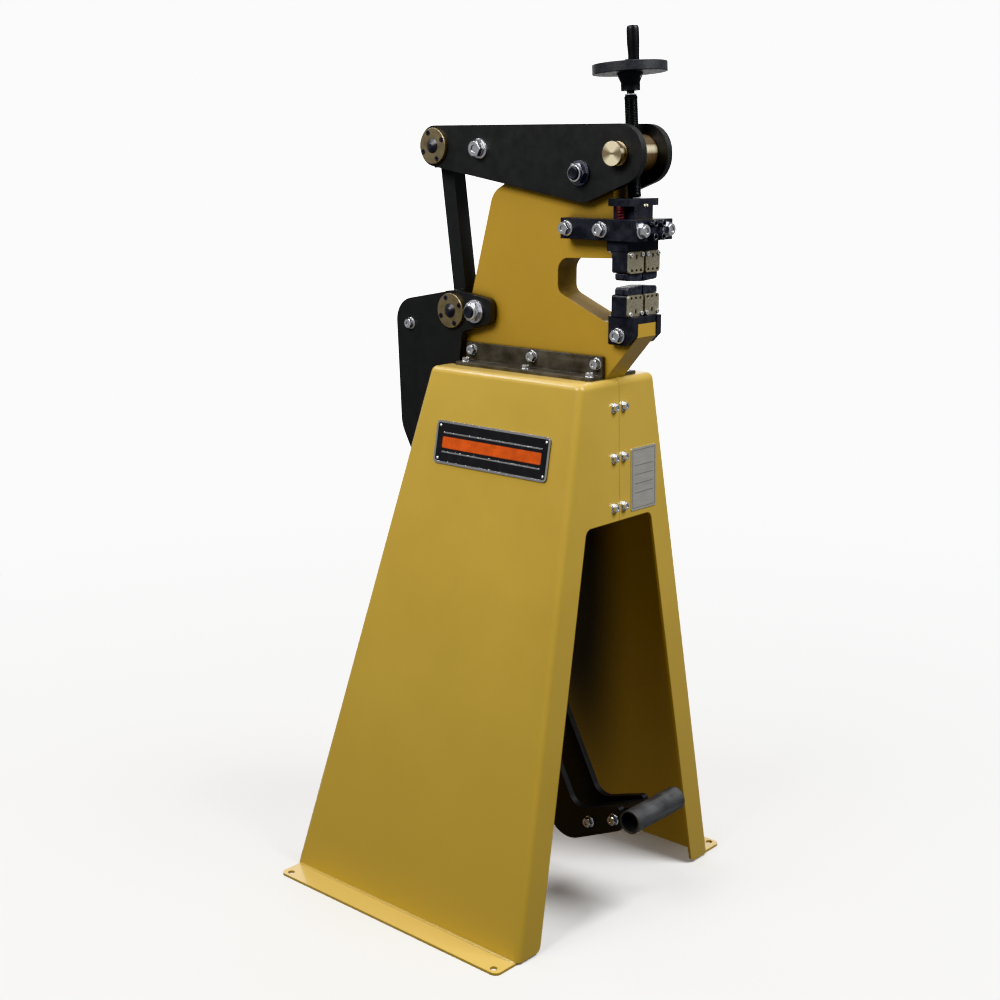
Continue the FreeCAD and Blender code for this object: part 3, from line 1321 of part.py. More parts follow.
def jaw(name, near, upper):
    """One sliding jaw: a shank in the block's slot and a crowned head that grips the sheet."""
    side = -1 if near else 1
    block = Z_UPPER_JAW if upper else Z_LOWER_JAW
    away = 1 if upper else -1
    depth = f"{away} * (die_height - die_roof - jaw_fit)"
    head = f"{-away} * (jaw_show - jaw_fit)"
    head_rear = f"({X_DIE_REAR} + die_wall)"

    def span(first, second, flip):
        return (first, second) if flip > 0 else (second, first)

    shank = box(
        name + "_shank", (f"{head_rear} + jaw_fit", f"{X_RAM_FRONT} - jaw_fit"),
        span(f"{side} * jaw_split", f"{side} * jaw_half_width", side),
        span(f"{block} - {away} * jaw_fit * 3", f"{block} + {depth}", away),
    )
    face = box(
        name + "_face", (head_rear, X_RAM_FRONT),
        span(f"{side} * jaw_split", f"{side} * jaw_head_half", side),
        span(f"{block} - {away} * jaw_fit", f"{block} - {away} * jaw_fit + {head}", -away),
    )
    # The crown falls away from the middle, and the outer end is bevelled.
    crown = doc.addObject("Part::Wedge", name + "_crown")
    bind(crown, Xmin=f"{X_DIE_REAR} - 1", Xmax=f"{X_RAM_FRONT} + 1")
    bind(crown, X2min=f"{X_DIE_REAR} - 1", X2max=f"{X_RAM_FRONT} + 1")
    bind(crown, Ymin="0", Ymax="jaw_head_half - jaw_split")
    bind(crown, Zmin="0", Z2min="0", Zmax="0.01", Z2max="jaw_crown")
    tip = Z_UPPER_FACE if upper else Z_LOWER_FACE
    # The wedge grows along its own +Y and lies with its flat side on the jaw's face.
    if near:
        turn = Rotation(Vector(0, 0, 1), 180) if upper else Rotation(Vector(1, 0, 0), 180)
    else:
        turn = Rotation() if upper else Rotation(Vector(0, 1, 0), 180)
    crown.Placement = FreeCAD.Placement(Vector(0, 0, 0), turn)
    flipped = (near and upper) or (not near and not upper)
    shift = f"{X_DIE_REAR} + {X_RAM_FRONT}" if flipped else "0"
    crown.setExpression("Placement.Base.x", formula(shift))
    crown.setExpression("Placement.Base.y", formula(f"{side} * jaw_split"))
    crown.setExpression("Placement.Base.z", formula(tip))
    # A square bar that stands on its edge takes the outer corner off.
    bevel = doc.addObject("Part::Prism", name + "_bevel")
    bevel.Polygon = 4
    bind(bevel, Circumradius="jaw_chamfer", Height="die_depth + 2")
    put(bevel, f"{X_DIE_REAR} - 1", f"{side} * jaw_head_half", f"{tip} - {-away} * jaw_crown", "+X")
    return node(cut(name + "_solid", fuse(name + "_blank", [shank, face]), [crown, bevel]), name)


def dies():
    """Upper and lower die blocks with sliding jaws behind bolted cover plates."""
    slot = (f"{Z_UPPER_JAW} - 1", f"{Z_HOLDER} - die_roof")
    node(die_block("upper_die", Z_UPPER_JAW, Z_HOLDER, slot, True), "upper_die_block")
    slot = (f"{Z_LOWER_BLOCK} + die_roof", f"{Z_LOWER_JAW} + 1")
    lower = die_block("lower_die", Z_LOWER_BLOCK, Z_LOWER_JAW, slot, False)
    y = (f"-{FRAME_SIDE}", FRAME_SIDE)
    tongue = box("lower_tongue", (X_DIE_REAR, X_NOSE), y, (Z_NOSE, Z_LOWER_BLOCK))
    node(fuse("lower_die_whole", [lower, tongue]), "lower_die_block")
    for upper_jaw in (True, False):
        for near in (True, False):
            jaw(f"{'upper' if upper_jaw else 'lower'}_jaw_{'near' if near else 'far'}", near, upper_jaw)
    die_covers()
    cheeks()


def die_covers():
    """Four small plates that hold the jaws in, their free edge towards the jaws."""
    half_width = "cover_width / 2"
    half_height = "cover_height / 2"
    outline = [
        (f"-{half_width}", f"-{half_height}", "cover_round"),
        (half_width, f"-{half_height}", "cover_round"),
        (half_width, half_height, "cover_round"),
        (f"-{half_width}", half_height, "cover_round"),
    ]
    low = f"-{half_height} + cover_screw_inset"
    high = f"{half_height} - cover_screw_inset"
    holes = [(f"{i} * cover_hole_step", low, "cover_hole") for i in (-1, 0, 1)]
    screw_across = [f"{i} * ({half_width} - cover_screw_inset)" for i in (-1, 1)]
    holes += [(across, high, "cover_screw + 0.2") for across in screw_across]
    body = plate("cover_body", outline, holes, "cover_thick", "YZ_Plane")
    slot_half = "cover_slot_length / 2"
    slot_middle = f"({high} - cover_slot_length / 2)"
    slot = box("cover_slot_tool", ("-1", "cover_thick + 1"), ("-cover_slot / 2", "cover_slot / 2"),
               (f"{slot_middle} - {slot_half}", f"{slot_middle} + {slot_half}"))
    cover = cut("cover_master", body, [slot])
    screw_master = socket_screw(
        "cover_screw_master", "cover_screw", "cover_thick + cover_screw_grip",
        "1.75 * cover_screw", "0.6 * cover_screw", "0.6 * cover_screw",
    )
    face = f"({X_RAM_FRONT} + cover_thick)"
    for upper in (True, False):
        name = "upper" if upper else "lower"
        places = [(X_RAM_FRONT, f"{i} * {COVER_MIDDLE}", cover_centre(upper), "+Z") for i in (-1, 1)]
        covers = copies(name + "_cover", cover, places)
        if not upper:
            for cover_link in covers:
                turn_over(cover_link)
        node(group(name + "_cover_set", covers), name + "_cover_plates")
        places = [(face, y, z, "+X") for y, z in cover_screw_places(upper)]
        screws = copies(name + "_cover_screw", screw_master, places)
        node(group(name + "_cover_screw_set", screws), name + "_cover_screws")


def turn_over(thing):
    """Turns a linked piece half a turn about X and keeps its bound place."""
    thing.Placement = FreeCAD.Placement(thing.Placement.Base, TURNS["-Z"])


def cheeks():
    """Side plates that hold the lower die on the frame's nose."""
    front = f"{X_NOSE} + cheek_proud"
    low = f"{Z_NOSE} - cheek_drop"
    outline = [
        (X_CHEEK_REAR, low, "cheek_round"),
        (f"{front} - cheek_chamfer", low, "cheek_round"),
        (front, f"{low} + cheek_chamfer", "cheek_round"),
        (front, Z_LOWER_BLOCK, None),
        (X_CHEEK_REAR, Z_LOWER_BLOCK, None),
    ]
    holes = [(X_CHEEK_BOLT, Z_CHEEK_BOLT, "head_bolt + bolt_clearance")]
    cheek = plate("cheek_body", outline, holes, "cheek_thick")
    places = [("0", f"-{FRAME_SIDE}", "0", "+Z"), ("0", f"{FRAME_SIDE} + cheek_thick", "0", "+Z")]
    node(group("cheek_pair", copies("cheek", cheek, places)), "lower_cheeks")


def blank_plates():
    """A sign plate and a data plate with nothing on them."""
    half = "sign_width / 2"
    low = f"{Z_TOP} - sign_drop - sign_height / 2"
    high = f"{Z_TOP} - sign_drop + sign_height / 2"
    outline = [
        (f"sign_x - {half}", low, "sign_round"), (f"sign_x + {half}", low, "sign_round"),
        (f"sign_x + {half}", high, "sign_round"), (f"sign_x - {half}", high, "sign_round"),
    ]
    sign = put(plate("sign_body", outline, [], "sign_thick"), y="-base_half_width")
    sign.Placement = FreeCAD.Placement(sign.Placement.Base, Rotation(Vector(-1, 0, 0), 1))
    sign.setExpression("Placement.Rotation.Angle", formula(SIDE_LEAN))
    node(sign, "sign_plate")
    half = "data_plate_width / 2"
    low = f"{Z_TOP} - data_plate_drop - data_plate_height / 2"
    high = f"{Z_TOP} - data_plate_drop + data_plate_height / 2"
    near = f"data_plate_y - {half}"
    far = f"data_plate_y + {half}"
    outline = [
        (near, low, "data_plate_round"), (far, low, "data_plate_round"),
        (far, high, "data_plate_round"), (near, high, "data_plate_round"),
    ]
    node(lean_back(plate("data_body", outline, [], "data_plate_thick", "YZ_Plane")), "data_plate")


def write_parts():
    """Checks every object, then writes each sub-part to its own file."""
    doc.recompute()
    for thing in doc.Objects:
        if {"Invalid", "Error"} & set(thing.State):
            raise RuntimeError(f"{thing.Label} failed: {thing.State}")
    os.makedirs("parts", exist_ok=True)
    for thing in sub_parts:
        shape = thing.Shape
        if shape.isNull() or not shape.isValid() or not shape.Solids:
            raise RuntimeError(f"{thing.Label} has no valid solid")
        shape.exportStep(f"parts/{thing.Label}.step")
    solids = sum(len(thing.Shape.Solids) for thing in sub_parts)
    print(f"{len(sub_parts)} sub-parts, {solids} solids")


stand()
front_seam()
c_frame()
frame_brackets()
lever()
link()
treadle()
pivot_fasteners()
pedal()
screw()
slide()
return_springs()
dies()
blank_plates()
write_parts()
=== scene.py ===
import math

import bmesh
import bpy
from mathutils import Matrix, Vector


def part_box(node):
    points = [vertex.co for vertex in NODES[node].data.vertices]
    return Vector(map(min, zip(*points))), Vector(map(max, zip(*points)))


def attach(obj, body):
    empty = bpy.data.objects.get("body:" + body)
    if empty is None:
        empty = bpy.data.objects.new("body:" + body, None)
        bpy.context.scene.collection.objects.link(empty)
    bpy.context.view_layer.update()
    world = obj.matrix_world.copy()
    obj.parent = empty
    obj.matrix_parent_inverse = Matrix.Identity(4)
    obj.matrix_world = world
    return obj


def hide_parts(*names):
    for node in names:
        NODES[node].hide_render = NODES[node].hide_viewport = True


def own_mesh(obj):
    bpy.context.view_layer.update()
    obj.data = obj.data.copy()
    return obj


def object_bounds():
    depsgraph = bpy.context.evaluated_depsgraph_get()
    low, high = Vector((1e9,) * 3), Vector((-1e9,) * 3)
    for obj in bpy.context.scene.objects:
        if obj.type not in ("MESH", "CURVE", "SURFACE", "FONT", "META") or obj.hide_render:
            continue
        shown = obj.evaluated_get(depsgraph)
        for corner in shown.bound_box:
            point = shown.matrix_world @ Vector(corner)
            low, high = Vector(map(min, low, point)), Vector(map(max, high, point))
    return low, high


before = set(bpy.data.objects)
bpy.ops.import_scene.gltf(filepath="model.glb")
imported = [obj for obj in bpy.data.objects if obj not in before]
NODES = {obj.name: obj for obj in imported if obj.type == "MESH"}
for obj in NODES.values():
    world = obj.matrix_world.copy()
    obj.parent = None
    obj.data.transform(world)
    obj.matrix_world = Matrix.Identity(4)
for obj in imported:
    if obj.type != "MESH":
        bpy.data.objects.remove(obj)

# Finishes, small pieces, light and camera for the foot-operated shrinker stretcher.
# Lengths are in metres. +X points at the operator, -Y is the side with the sign plate.

cad_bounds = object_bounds()
MM = 0.001
SAME_PLACE = 0.001 * MM
SIDES = ((-1, "near"), (1, "far"))


def low(node):
    """The lowest corner of a CAD piece's box."""
    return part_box(node)[0]


def high(node):
    """The highest corner of a CAD piece's box."""
    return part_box(node)[1]


def centre(node):
    """The middle of a CAD piece's box."""
    return (low(node) + high(node)) / 2


# Camera, matched to the photograph
CAMERA_PLACE = Vector((1.8081, -2.0157, 1.3563))
CAMERA_YAW = math.radians(41.97)
CAMERA_PITCH = math.radians(-13.32)
CAMERA_ROLL = math.radians(-0.14)
CAMERA_LENS = 54.77
CAMERA_SHIFT = (-0.0017, -0.0004)

# Driving sizes of the solids that the small pieces sit on
STAND_HEIGHT = 965.0 * MM
HALF_AT_FLOOR = 282.0 * MM
HALF_AT_TOP = 101.0 * MM
FRONT_AT_FLOOR = 282.0 * MM
FRONT_AT_TOP = 261.0 * MM
SHEET = 5.0 * MM
FOOT_HALF_LENGTH = 276.0 * MM
SIGN_HEIGHT = 76.0 * MM
SIGN_DROP = 113.0 * MM
SIGN_THICK = 1.5 * MM
DATA_PLATE_HEIGHT = 110.0 * MM
DATA_PLATE_DROP = 180.0 * MM
DATA_PLATE_THICK = 1.2 * MM
SPINDLE_LEAN = math.radians(4.0)
SPINDLE_RADIUS = 11.0 * MM
SHOULDER = 91.0 * MM
NECK_RADIUS = 6.5 * MM
HUB_CONE_START = 110.5 * MM
WHEEL_START = 125.0 * MM
WHEEL_FACE = 141.0 * MM
HUB_RADIUS = 15.75 * MM
CONE_RADIUS = 22.0 * MM
HANDLE_CIRCLE = 49.0 * MM
HANDLE_ANGLE = math.radians(-45.0)
HANDLE_LENGTH = 52.0 * MM

# Colours, as linear values
MUSTARD = (0.495, 0.338, 0.068)
MUSTARD_FRAME = (0.431, 0.267, 0.047)
BLACK_PAINT = (0.0165, 0.0172, 0.0180)
BLACK_OXIDE = (0.0260, 0.0270, 0.0330)
ZINC = (0.730, 0.740, 0.770)
BRONZE = (0.365, 0.305, 0.205)
BRASS = (0.880, 0.790, 0.560)
MILL_SCALE = (0.086, 0.079, 0.068)
TUBE_SCALE = (0.096, 0.098, 0.101)
COVER = (0.290, 0.268, 0.205)
SPRING_RED = (0.062, 0.003, 0.007)
STEEL = (0.300, 0.300, 0.300)
PLASTIC = (0.0245, 0.0260, 0.0305)
HANDLE_BLACK = (0.0052, 0.0053, 0.0066)
THREAD_BLACK = (0.0100, 0.0106, 0.0112)
ENAMEL = (0.014, 0.014, 0.016)
ORANGE = (0.560, 0.085, 0.015)
LINE_ENAMEL = (0.050, 0.050, 0.055)
RIM = (0.620, 0.620, 0.630)
DATA_PLATE = (0.700, 0.690, 0.640)
LEVER_NUT = (0.200, 0.205, 0.230)
TREADLE_NUT = (0.660, 0.670, 0.710)
COVER_SCREW = (0.850, 0.860, 0.880)
CHROME = (0.800, 0.820, 0.860)
BRASS_SCREW = (0.950, 0.880, 0.680)
BRASS_SHADOW = (0.125, 0.080, 0.048)
# The *_EDGE colours are partly worn edges and partly painted highlight along edges.
PAINT_EDGE = (0.060, 0.062, 0.070)
OXIDE_EDGE = (0.085, 0.088, 0.098)
GIB_EDGE = (0.700, 0.700, 0.720)
SCALE_EDGE = (0.230, 0.225, 0.215)
JAW_FACE = (0.062, 0.062, 0.066)
JAW_EDGE = (0.200, 0.200, 0.210)
WELD = (0.050, 0.048, 0.047)
WELD_DARK = (0.030, 0.028, 0.030)
WELD_PALE = (0.095, 0.082, 0.070)
FLOOR = (0.800, 0.800, 0.800)
FLOOR_DULL = (0.955, 0.955, 0.960)
FLOOR_PALE = (0.980, 0.980, 0.980)


class Finish:
    """A node material, with short calls for the nodes that the finishes share."""

    def __init__(
        self, name, colour, roughness, metallic=0.0, coat=0.0, coat_roughness=0.1, specular=0.5,
    ):
        self.material = bpy.data.materials.new(name)
        self.material.use_nodes = True
        self.material.diffuse_color = (*colour, 1)
        self.tree = self.material.node_tree
        self.shader = self.tree.nodes["Principled BSDF"]
        self.put(self.shader, {
            "Base Color": (*colour, 1), "Roughness": roughness, "Metallic": metallic,
            "Coat Weight": coat, "Coat Roughness": coat_roughness, "Specular IOR Level": specular,
        })
        self.place = self.add("ShaderNodeTexCoord").outputs["Object"]

    def put(self, node, inputs):
        """Sets a node's inputs, each to a value or to another node's output."""
        for key, value in inputs.items():
            if isinstance(value, bpy.types.NodeSocket):
                self.tree.links.new(value, node.inputs[key])
            else:
                node.inputs[key].default_value = value
        return node

    def add(self, kind, inputs=None, **settings):
        """A new node with its settings and inputs."""
        node = self.tree.nodes.new(kind)
        for key, value in settings.items():
            setattr(node, key, value)
        return self.put(node, inputs or {})

    def math(self, operation, *values):
        """What a math node makes of one or two values."""
        return self.add("ShaderNodeMath", dict(enumerate(values)), operation=operation).outputs[0]

    def vector(self, operation, *vectors):
        """What a vector math node makes of one or two vectors."""
        node = self.add("ShaderNodeVectorMath", dict(enumerate(vectors)), operation=operation)
        return node.outputs["Value" if operation in ("LENGTH", "DOT_PRODUCT") else "Vector"]

    def axes(self, vector):
        """A vector's parts, under their names X, Y and Z."""
        return self.add("ShaderNodeSeparateXYZ", {0: vector}).outputs

    def normal(self):
        """The direction that the surface faces."""
        return self.add("ShaderNodeNewGeometry").outputs["Normal"]

    def noise(self, scale, detail=3.0, roughness=0.55, place=None):
        """Noise of about 0.2 to 0.8."""
        inputs = {
            "Vector": place or self.place, "Scale": scale, "Detail": detail, "Roughness": roughness,
        }
        return self.add("ShaderNodeTexNoise", inputs).outputs["Fac"]

    def stretched(self, scales, detail):
        """Noise with a scale of its own on each axis, for streaks."""
        place = self.add("ShaderNodeMapping", {"Vector": self.place, "Scale": scales}).outputs[0]
        return self.noise(1.0, detail, 0.6, place)

    def spread(self, value, low_end, high_end, start=0.0, end=1.0, curve="LINEAR"):
        """Maps start..end of a value to low_end..high_end."""
        inputs = {
            "Value": value, "From Min": start, "From Max": end, "To Min": low_end, "To Max": high_end,
        }
        return self.add("ShaderNodeMapRange", inputs, interpolation_type=curve).outputs["Result"]

    def patches(self, start, end, *noise):
        """Noise with its start..end spread over 0..1."""
        return self.spread(self.noise(*noise), 0.0, 1.0, start, end)

    def blend(self, amount, first, second):
        """Mixes two colours by an amount."""
        colours = {6: first, 7: second}
        inputs = {key: (*c, 1) if isinstance(c, tuple) else c for key, c in colours.items()}
        return self.add("ShaderNodeMix", {0: amount, **inputs}, data_type="RGBA").outputs[2]

    def soft_edges(self, radius):
        """Normals that round each sharp edge over a radius."""
        return self.add("ShaderNodeBevel", {"Radius": radius}, samples=4).outputs["Normal"]

    def edged(self, body, soft, amount, edge_colour):
        """A colour that gives way to another along the edges that soft normals round; the edge colour
        is partly wear and partly painted highlight.
        """
        bend = self.vector("DOT_PRODUCT", soft, self.normal())
        edge = self.spread(bend, 1.0, 0.0, 0.80, 0.985)
        return self.blend(self.math("MULTIPLY", edge, amount), body, edge_colour)

    def crevices(self, reach):
        """1 in the open, falling to 0 deep inside."""
        return self.add("ShaderNodeAmbientOcclusion", {"Distance": reach}, samples=6).outputs["AO"]

    def bump(self, height, distance, normal=None):
        """Normals for a height from 0 to 1 that stands for a distance."""
        inputs = {"Height": height, "Distance": distance}
        if normal:
            inputs["Normal"] = normal
        return self.add("ShaderNodeBump", inputs).outputs["Normal"]

    def rings(self, middle, axis, scale):
        """Noise that runs in rings about an axis, and along it on the side of a turned piece."""
        across = tuple(0.0 if name == axis else 1.0 for name in "XYZ")
        offset = self.vector("SUBTRACT", self.place, tuple(middle))
        radius = self.vector("LENGTH", self.vector("MULTIPLY", offset, across))
        place = self.math("ADD", radius, self.axes(offset)[axis])
        inputs = {"W": place, "Scale": scale, "Detail": 3.0, "Roughness": 0.7}
        return self.add("ShaderNodeTexNoise", inputs, noise_dimensions="1D").outputs["Fac"]

    def use(self, colour, roughness=None, normal=None):
        """Links the shader's main inputs and gives the finished material."""
        named = {"Base Color": colour, "Roughness": roughness, "Normal": normal}
        self.put(self.shader, {key: value for key, value in named.items() if value is not None})
        return self.material


def shade(colour, factor):
    """A colour, lighter or darker by a factor."""
    return tuple(min(channel * factor, 1.0) for channel in colour)


def hollow_shade(finish, colour, place, normal):
    """Painted shade inside the hollow stand, darkest high up, and what is 1 on its outer faces."""
    deepest = (0.0, 0.0, 0.75)
    flattened = (1.0, 0.0, 0.15)
    offset = finish.vector("SUBTRACT", finish.place, deepest)
    away = finish.vector("LENGTH", finish.vector("MULTIPLY", offset, flattened))
    outward = finish.math("SUBTRACT", away, finish.math("MULTIPLY", place["Z"], 0.06))
    depth = finish.spread(outward, 0.0, 1.0, 0.038, 0.136, "SMOOTHSTEP")
    dusky = (colour[0], colour[1] * 0.86, colour[2] * 0.80)
    dark = finish.blend(depth, shade(colour, 0.04), dusky)
    outside = finish.math("MULTIPLY", normal["Y"], place["Y"])
    return dark, finish.spread(outside, 0.0, 1.0, -0.05, -0.01)


def paint(name, colour, hollow=False):
    """Glossy powder coat: slow drift, specks of dust, orange peel, lighter edges that are partly a
    thin coat and partly painted highlight, painted shade low down and in hollows, painted light on
    faces that look up.
    """
    finish = Finish(name, colour, 0.38, coat=0.35, coat_roughness=0.12)
    soft = finish.soft_edges(1.4 * MM)
    place = finish.axes(finish.place)
    normal = finish.axes(finish.normal())
    body = finish.blend(
        finish.patches(0.3, 0.7, 5.0, 4.0), shade(colour, 0.94), shade(colour, 1.05),
    )
    dust = finish.spread(finish.noise(900.0, 2.0), 0.0, 0.10, 0.62, 0.75)
    dusty = finish.blend(dust, body, shade(colour, 1.6))
    # Painted shade: the coat is darker towards the floor.
    near_floor = finish.spread(place["Z"], 1.0, 0.0, 0.02, 0.60)
    shaded_low = finish.blend(near_floor, dusty, shade(colour, 0.94))
    # Painted light: faces that look up are lighter, as if lit from above.
    upward = finish.spread(normal["Z"], 0.0, 1.0, 0.6, 0.95)
    top_lit = finish.blend(upward, shaded_low, tuple(min(c * 1.1 + 0.055, 1.0) for c in colour))
    # Painted shade: darker inside the hollow stand, or in crevices that the occlusion node finds.
    if hollow:
        dark, open_air = hollow_shade(finish, colour, place, normal)
    else:
        dark = shade(colour, 0.10)
        open_air = finish.spread(finish.crevices(0.30), 0.0, 1.0, 0.28, 0.80)
    # The lighter edge colour is partly a thin coat and partly painted highlight.
    tinted = finish.edged(finish.blend(open_air, dark, top_lit), soft, 0.30, shade(colour, 1.6))
    gloss = finish.spread(finish.noise(14.0), 0.31, 0.42, 0.3, 0.7)
    rough = finish.math("ADD", gloss, finish.spread(open_air, 0.3, 0.0))
    return finish.use(tinted, rough, finish.bump(finish.noise(420.0, 2.0), 0.05 * MM, soft))


def black_plate(name, streak=(30.0, 30.0, 30.0)):
    """Satin black coat over sawn plate: fine tooth, faint handling marks, paler edges that are partly
    wear and partly painted highlight.
    """
    finish = Finish(name, BLACK_PAINT, 0.42, coat=0.10, coat_roughness=0.3)
    soft = finish.soft_edges(0.9 * MM)
    marks = finish.spread(finish.stretched(streak, 5.0), 0.0, 1.0, 0.35, 0.75)
    body = finish.blend(marks, shade(BLACK_PAINT, 0.9), shade(BLACK_PAINT, 1.15))
    tinted = finish.edged(body, soft, 0.75, PAINT_EDGE)
    rough = finish.spread(finish.noise(60.0, 4.0), 0.39, 0.50, 0.3, 0.7)
    return finish.use(tinted, rough, finish.bump(finish.noise(1500.0, 2.0), 0.03 * MM, soft))


def black_oxide(name, edge_colour=OXIDE_EDGE, colour=BLACK_OXIDE, sheen=0.5):
    """Blackened ground steel, with a grey edge colour that is partly bare ground steel and partly
    painted highlight.
    """
    finish = Finish(name, colour, 0.34, metallic=0.25, specular=sheen)
    soft = finish.soft_edges(0.7 * MM)
    body = finish.blend(
        finish.patches(0.35, 0.7, 45.0, 5.0), shade(colour, 0.75), shade(colour, 1.7),
    )
    rough = finish.spread(finish.noise(90.0, 4.0), 0.26, 0.46, 0.3, 0.7)
    grain = finish.bump(finish.stretched((250.0, 250.0, 2600.0), 3.0), 0.02 * MM, soft)
    return finish.use(finish.edged(body, soft, 0.8, edge_colour), rough, grain)


def zinc(name, colour=ZINC, roughness=(0.20, 0.32)):
    """Bright zinc plate on rolled and forged fasteners, with painted shade in the corners."""
    finish = Finish(name, colour, roughness[0], metallic=1.0)
    soft = finish.soft_edges(0.6 * MM)
    cloud = finish.patches(0.3, 0.7, 120.0, 3.0)
    body = finish.blend(cloud, shade(colour, 0.86), shade(colour, 1.08))
    # Painted shade: darker where the occlusion node finds corners.
    open_air = finish.spread(finish.crevices(5.0 * MM), 0.0, 1.0, 0.35, 0.90)
    rough = finish.spread(finish.noise(160.0, 3.0), *roughness, 0.3, 0.7)
    dents = finish.bump(finish.noise(300.0, 2.0), 0.012 * MM, soft)
    return finish.use(finish.blend(open_air, shade(colour, 0.22), body), rough, dents)


def turned(name, colour, middle, axis, roughness=(0.20, 0.42)):
    """Metal from a lathe: fine rings in colour, gloss and height."""
    finish = Finish(name, colour, roughness[0], metallic=1.0)
    soft = finish.soft_edges(0.5 * MM)
    rings = finish.rings(middle, axis, 1400.0)
    bright = finish.spread(rings, 0.0, 1.0, 0.3, 0.7)
    body = finish.blend(bright, shade(colour, 0.78), shade(colour, 1.12))
    stain = finish.spread(finish.noise(70.0, 4.0), 0.0, 0.6, 0.4, 0.75)
    stained = finish.blend(stain, body, shade(colour, 0.55))
    rough = finish.spread(rings, *roughness, 0.3, 0.7)
    return finish.use(stained, rough, finish.bump(rings, 0.06 * MM, soft))


def machined_painted_gleam(name, colour, middle):
    """Turned about y, with painted reflections: bright fans round a dimple on the ends, a bright
    highlight band along the side.
    """
    finish = Finish(name, colour, 0.28, metallic=0.5)
    soft = finish.soft_edges(0.6 * MM)
    offset = finish.vector("SUBTRACT", finish.place, tuple(middle))
    parts = finish.axes(offset)
    angle = finish.math("ARCTAN2", parts["Z"], parts["X"])
    # Painted reflection: two bright fans on the end faces.
    twice = finish.math("COSINE", finish.math("MULTIPLY", angle, 2.0))
    painted_fans = finish.spread(twice, 1.25, 0.22, -0.2, 0.9)
    radius = finish.vector("LENGTH", finish.vector("MULTIPLY", offset, (1, 0, 1)))
    dimple = finish.spread(radius, 0.15, 1.0, 1.2 * MM, 2.6 * MM)
    ends = finish.math("MULTIPLY", painted_fans, dimple)
    # Painted highlight: a bright band along the side, at a fixed angle round the axis.
    front = finish.math("COSINE", finish.math("ADD", angle, -0.24))
    band = finish.spread(front, 0.10, 1.25, 0.965, 0.998)
    rings = finish.spread(finish.rings(middle, "Y", 420.0), 0.75, 1.0, 0.38, 0.66)
    side = finish.math("MULTIPLY", band, rings)
    facing_y = finish.math("POWER", finish.axes(finish.normal())["Y"], 2.0)
    at_end = finish.spread(facing_y, 0.0, 1.0, 0.80, 0.95)
    bright = finish.add("ShaderNodeMix", {0: at_end, 2: side, 3: ends}).outputs[0]
    body = finish.blend(finish.math("MULTIPLY", bright, 0.8), BRASS_SHADOW, shade(colour, 1.13))
    return finish.use(body, finish.spread(finish.noise(300.0), 0.24, 0.32, 0.3, 0.7), soft)


def mill_scale(name, colour, streak, wear=(0.65, 1.4)):
    """Hot-rolled steel as it comes: brown-grey scale with worn streaks and pale corners that are
    partly wear and partly painted highlight.
    """
    finish = Finish(name, colour, 0.5, metallic=0.4)
    soft = finish.soft_edges(1.0 * MM)
    patches = finish.patches(0.36, 0.66, 28.0, 6.0, 0.65)
    body = finish.blend(patches, shade(colour, wear[0]), shade(colour, wear[1]))
    streaks = finish.spread(finish.stretched(streak, 4.0), 0.0, 0.55, 0.5, 0.8)
    streaked = finish.blend(streaks, body, shade(colour, 2.2))
    tinted = finish.edged(streaked, soft, 0.6, SCALE_EDGE)
    rough = finish.spread(patches, 0.34, 0.60)
    return finish.use(tinted, rough, finish.bump(patches, 0.08 * MM, soft))


def cover_plate(name):
    """Passivated plate with a fine grey-gold speckle."""
    finish = Finish(name, COVER, 0.46, metallic=0.55)
    soft = finish.soft_edges(0.5 * MM)
    speckle = finish.patches(0.38, 0.62, 620.0, 4.0, 0.7)
    body = finish.blend(speckle, shade(COVER, 0.50), shade(COVER, 1.40))
    # Lighter edges: partly wear, partly painted highlight.
    tinted = finish.edged(body, soft, 0.7, shade(COVER, 2.3))
    rough = finish.spread(speckle, 0.36, 0.56)
    return finish.use(tinted, rough, finish.bump(speckle, 0.04 * MM, soft))


def jaw_steel(name):
    """Hardened jaw: dark sides, and cross-cut teeth on the faces that grip."""
    finish = Finish(name, BLACK_OXIDE, 0.34, metallic=0.5)
    soft = finish.soft_edges(0.6 * MM)
    level = finish.math("ABSOLUTE", finish.axes(finish.normal())["Z"])
    face = finish.spread(level, 0.0, 1.0, 0.90, 0.97)
    bloom = finish.patches(0.35, 0.7, 120.0, 4.0)
    dark = finish.blend(bloom, shade(BLACK_OXIDE, 1.2), shade(BLACK_OXIDE, 3.2))
    # Painted highlight: a thin bright line along the jaw's edges.
    tinted = finish.edged(finish.blend(face, dark, JAW_FACE), soft, 0.7, JAW_EDGE)
    waves = {"Vector": finish.place, "Scale": 260.0}
    teeth = [
        finish.add("ShaderNodeTexWave", waves, bands_direction=way).outputs["Fac"] for way in "XY"
    ]
    cut = finish.math("MULTIPLY", finish.math("MULTIPLY", *teeth), face)
    return finish.use(tinted, finish.spread(bloom, 0.28, 0.44), finish.bump(cut, 0.25 * MM, soft))


def plastic(name, colour=PLASTIC, grain=900.0, sheen=0.5):
    """Moulded black plastic with a fine spark texture."""
    finish = Finish(name, colour, 0.46, specular=sheen)
    soft = finish.soft_edges(0.8 * MM)
    mottle = finish.patches(0.35, 0.7, 240.0, 4.0)
    body = finish.blend(mottle, shade(colour, 0.8), shade(colour, 1.45))
    rough = finish.spread(finish.noise(110.0), 0.38, 0.54, 0.3, 0.7)
    return finish.use(body, rough, finish.bump(finish.noise(grain, 2.0), 0.05 * MM, soft))


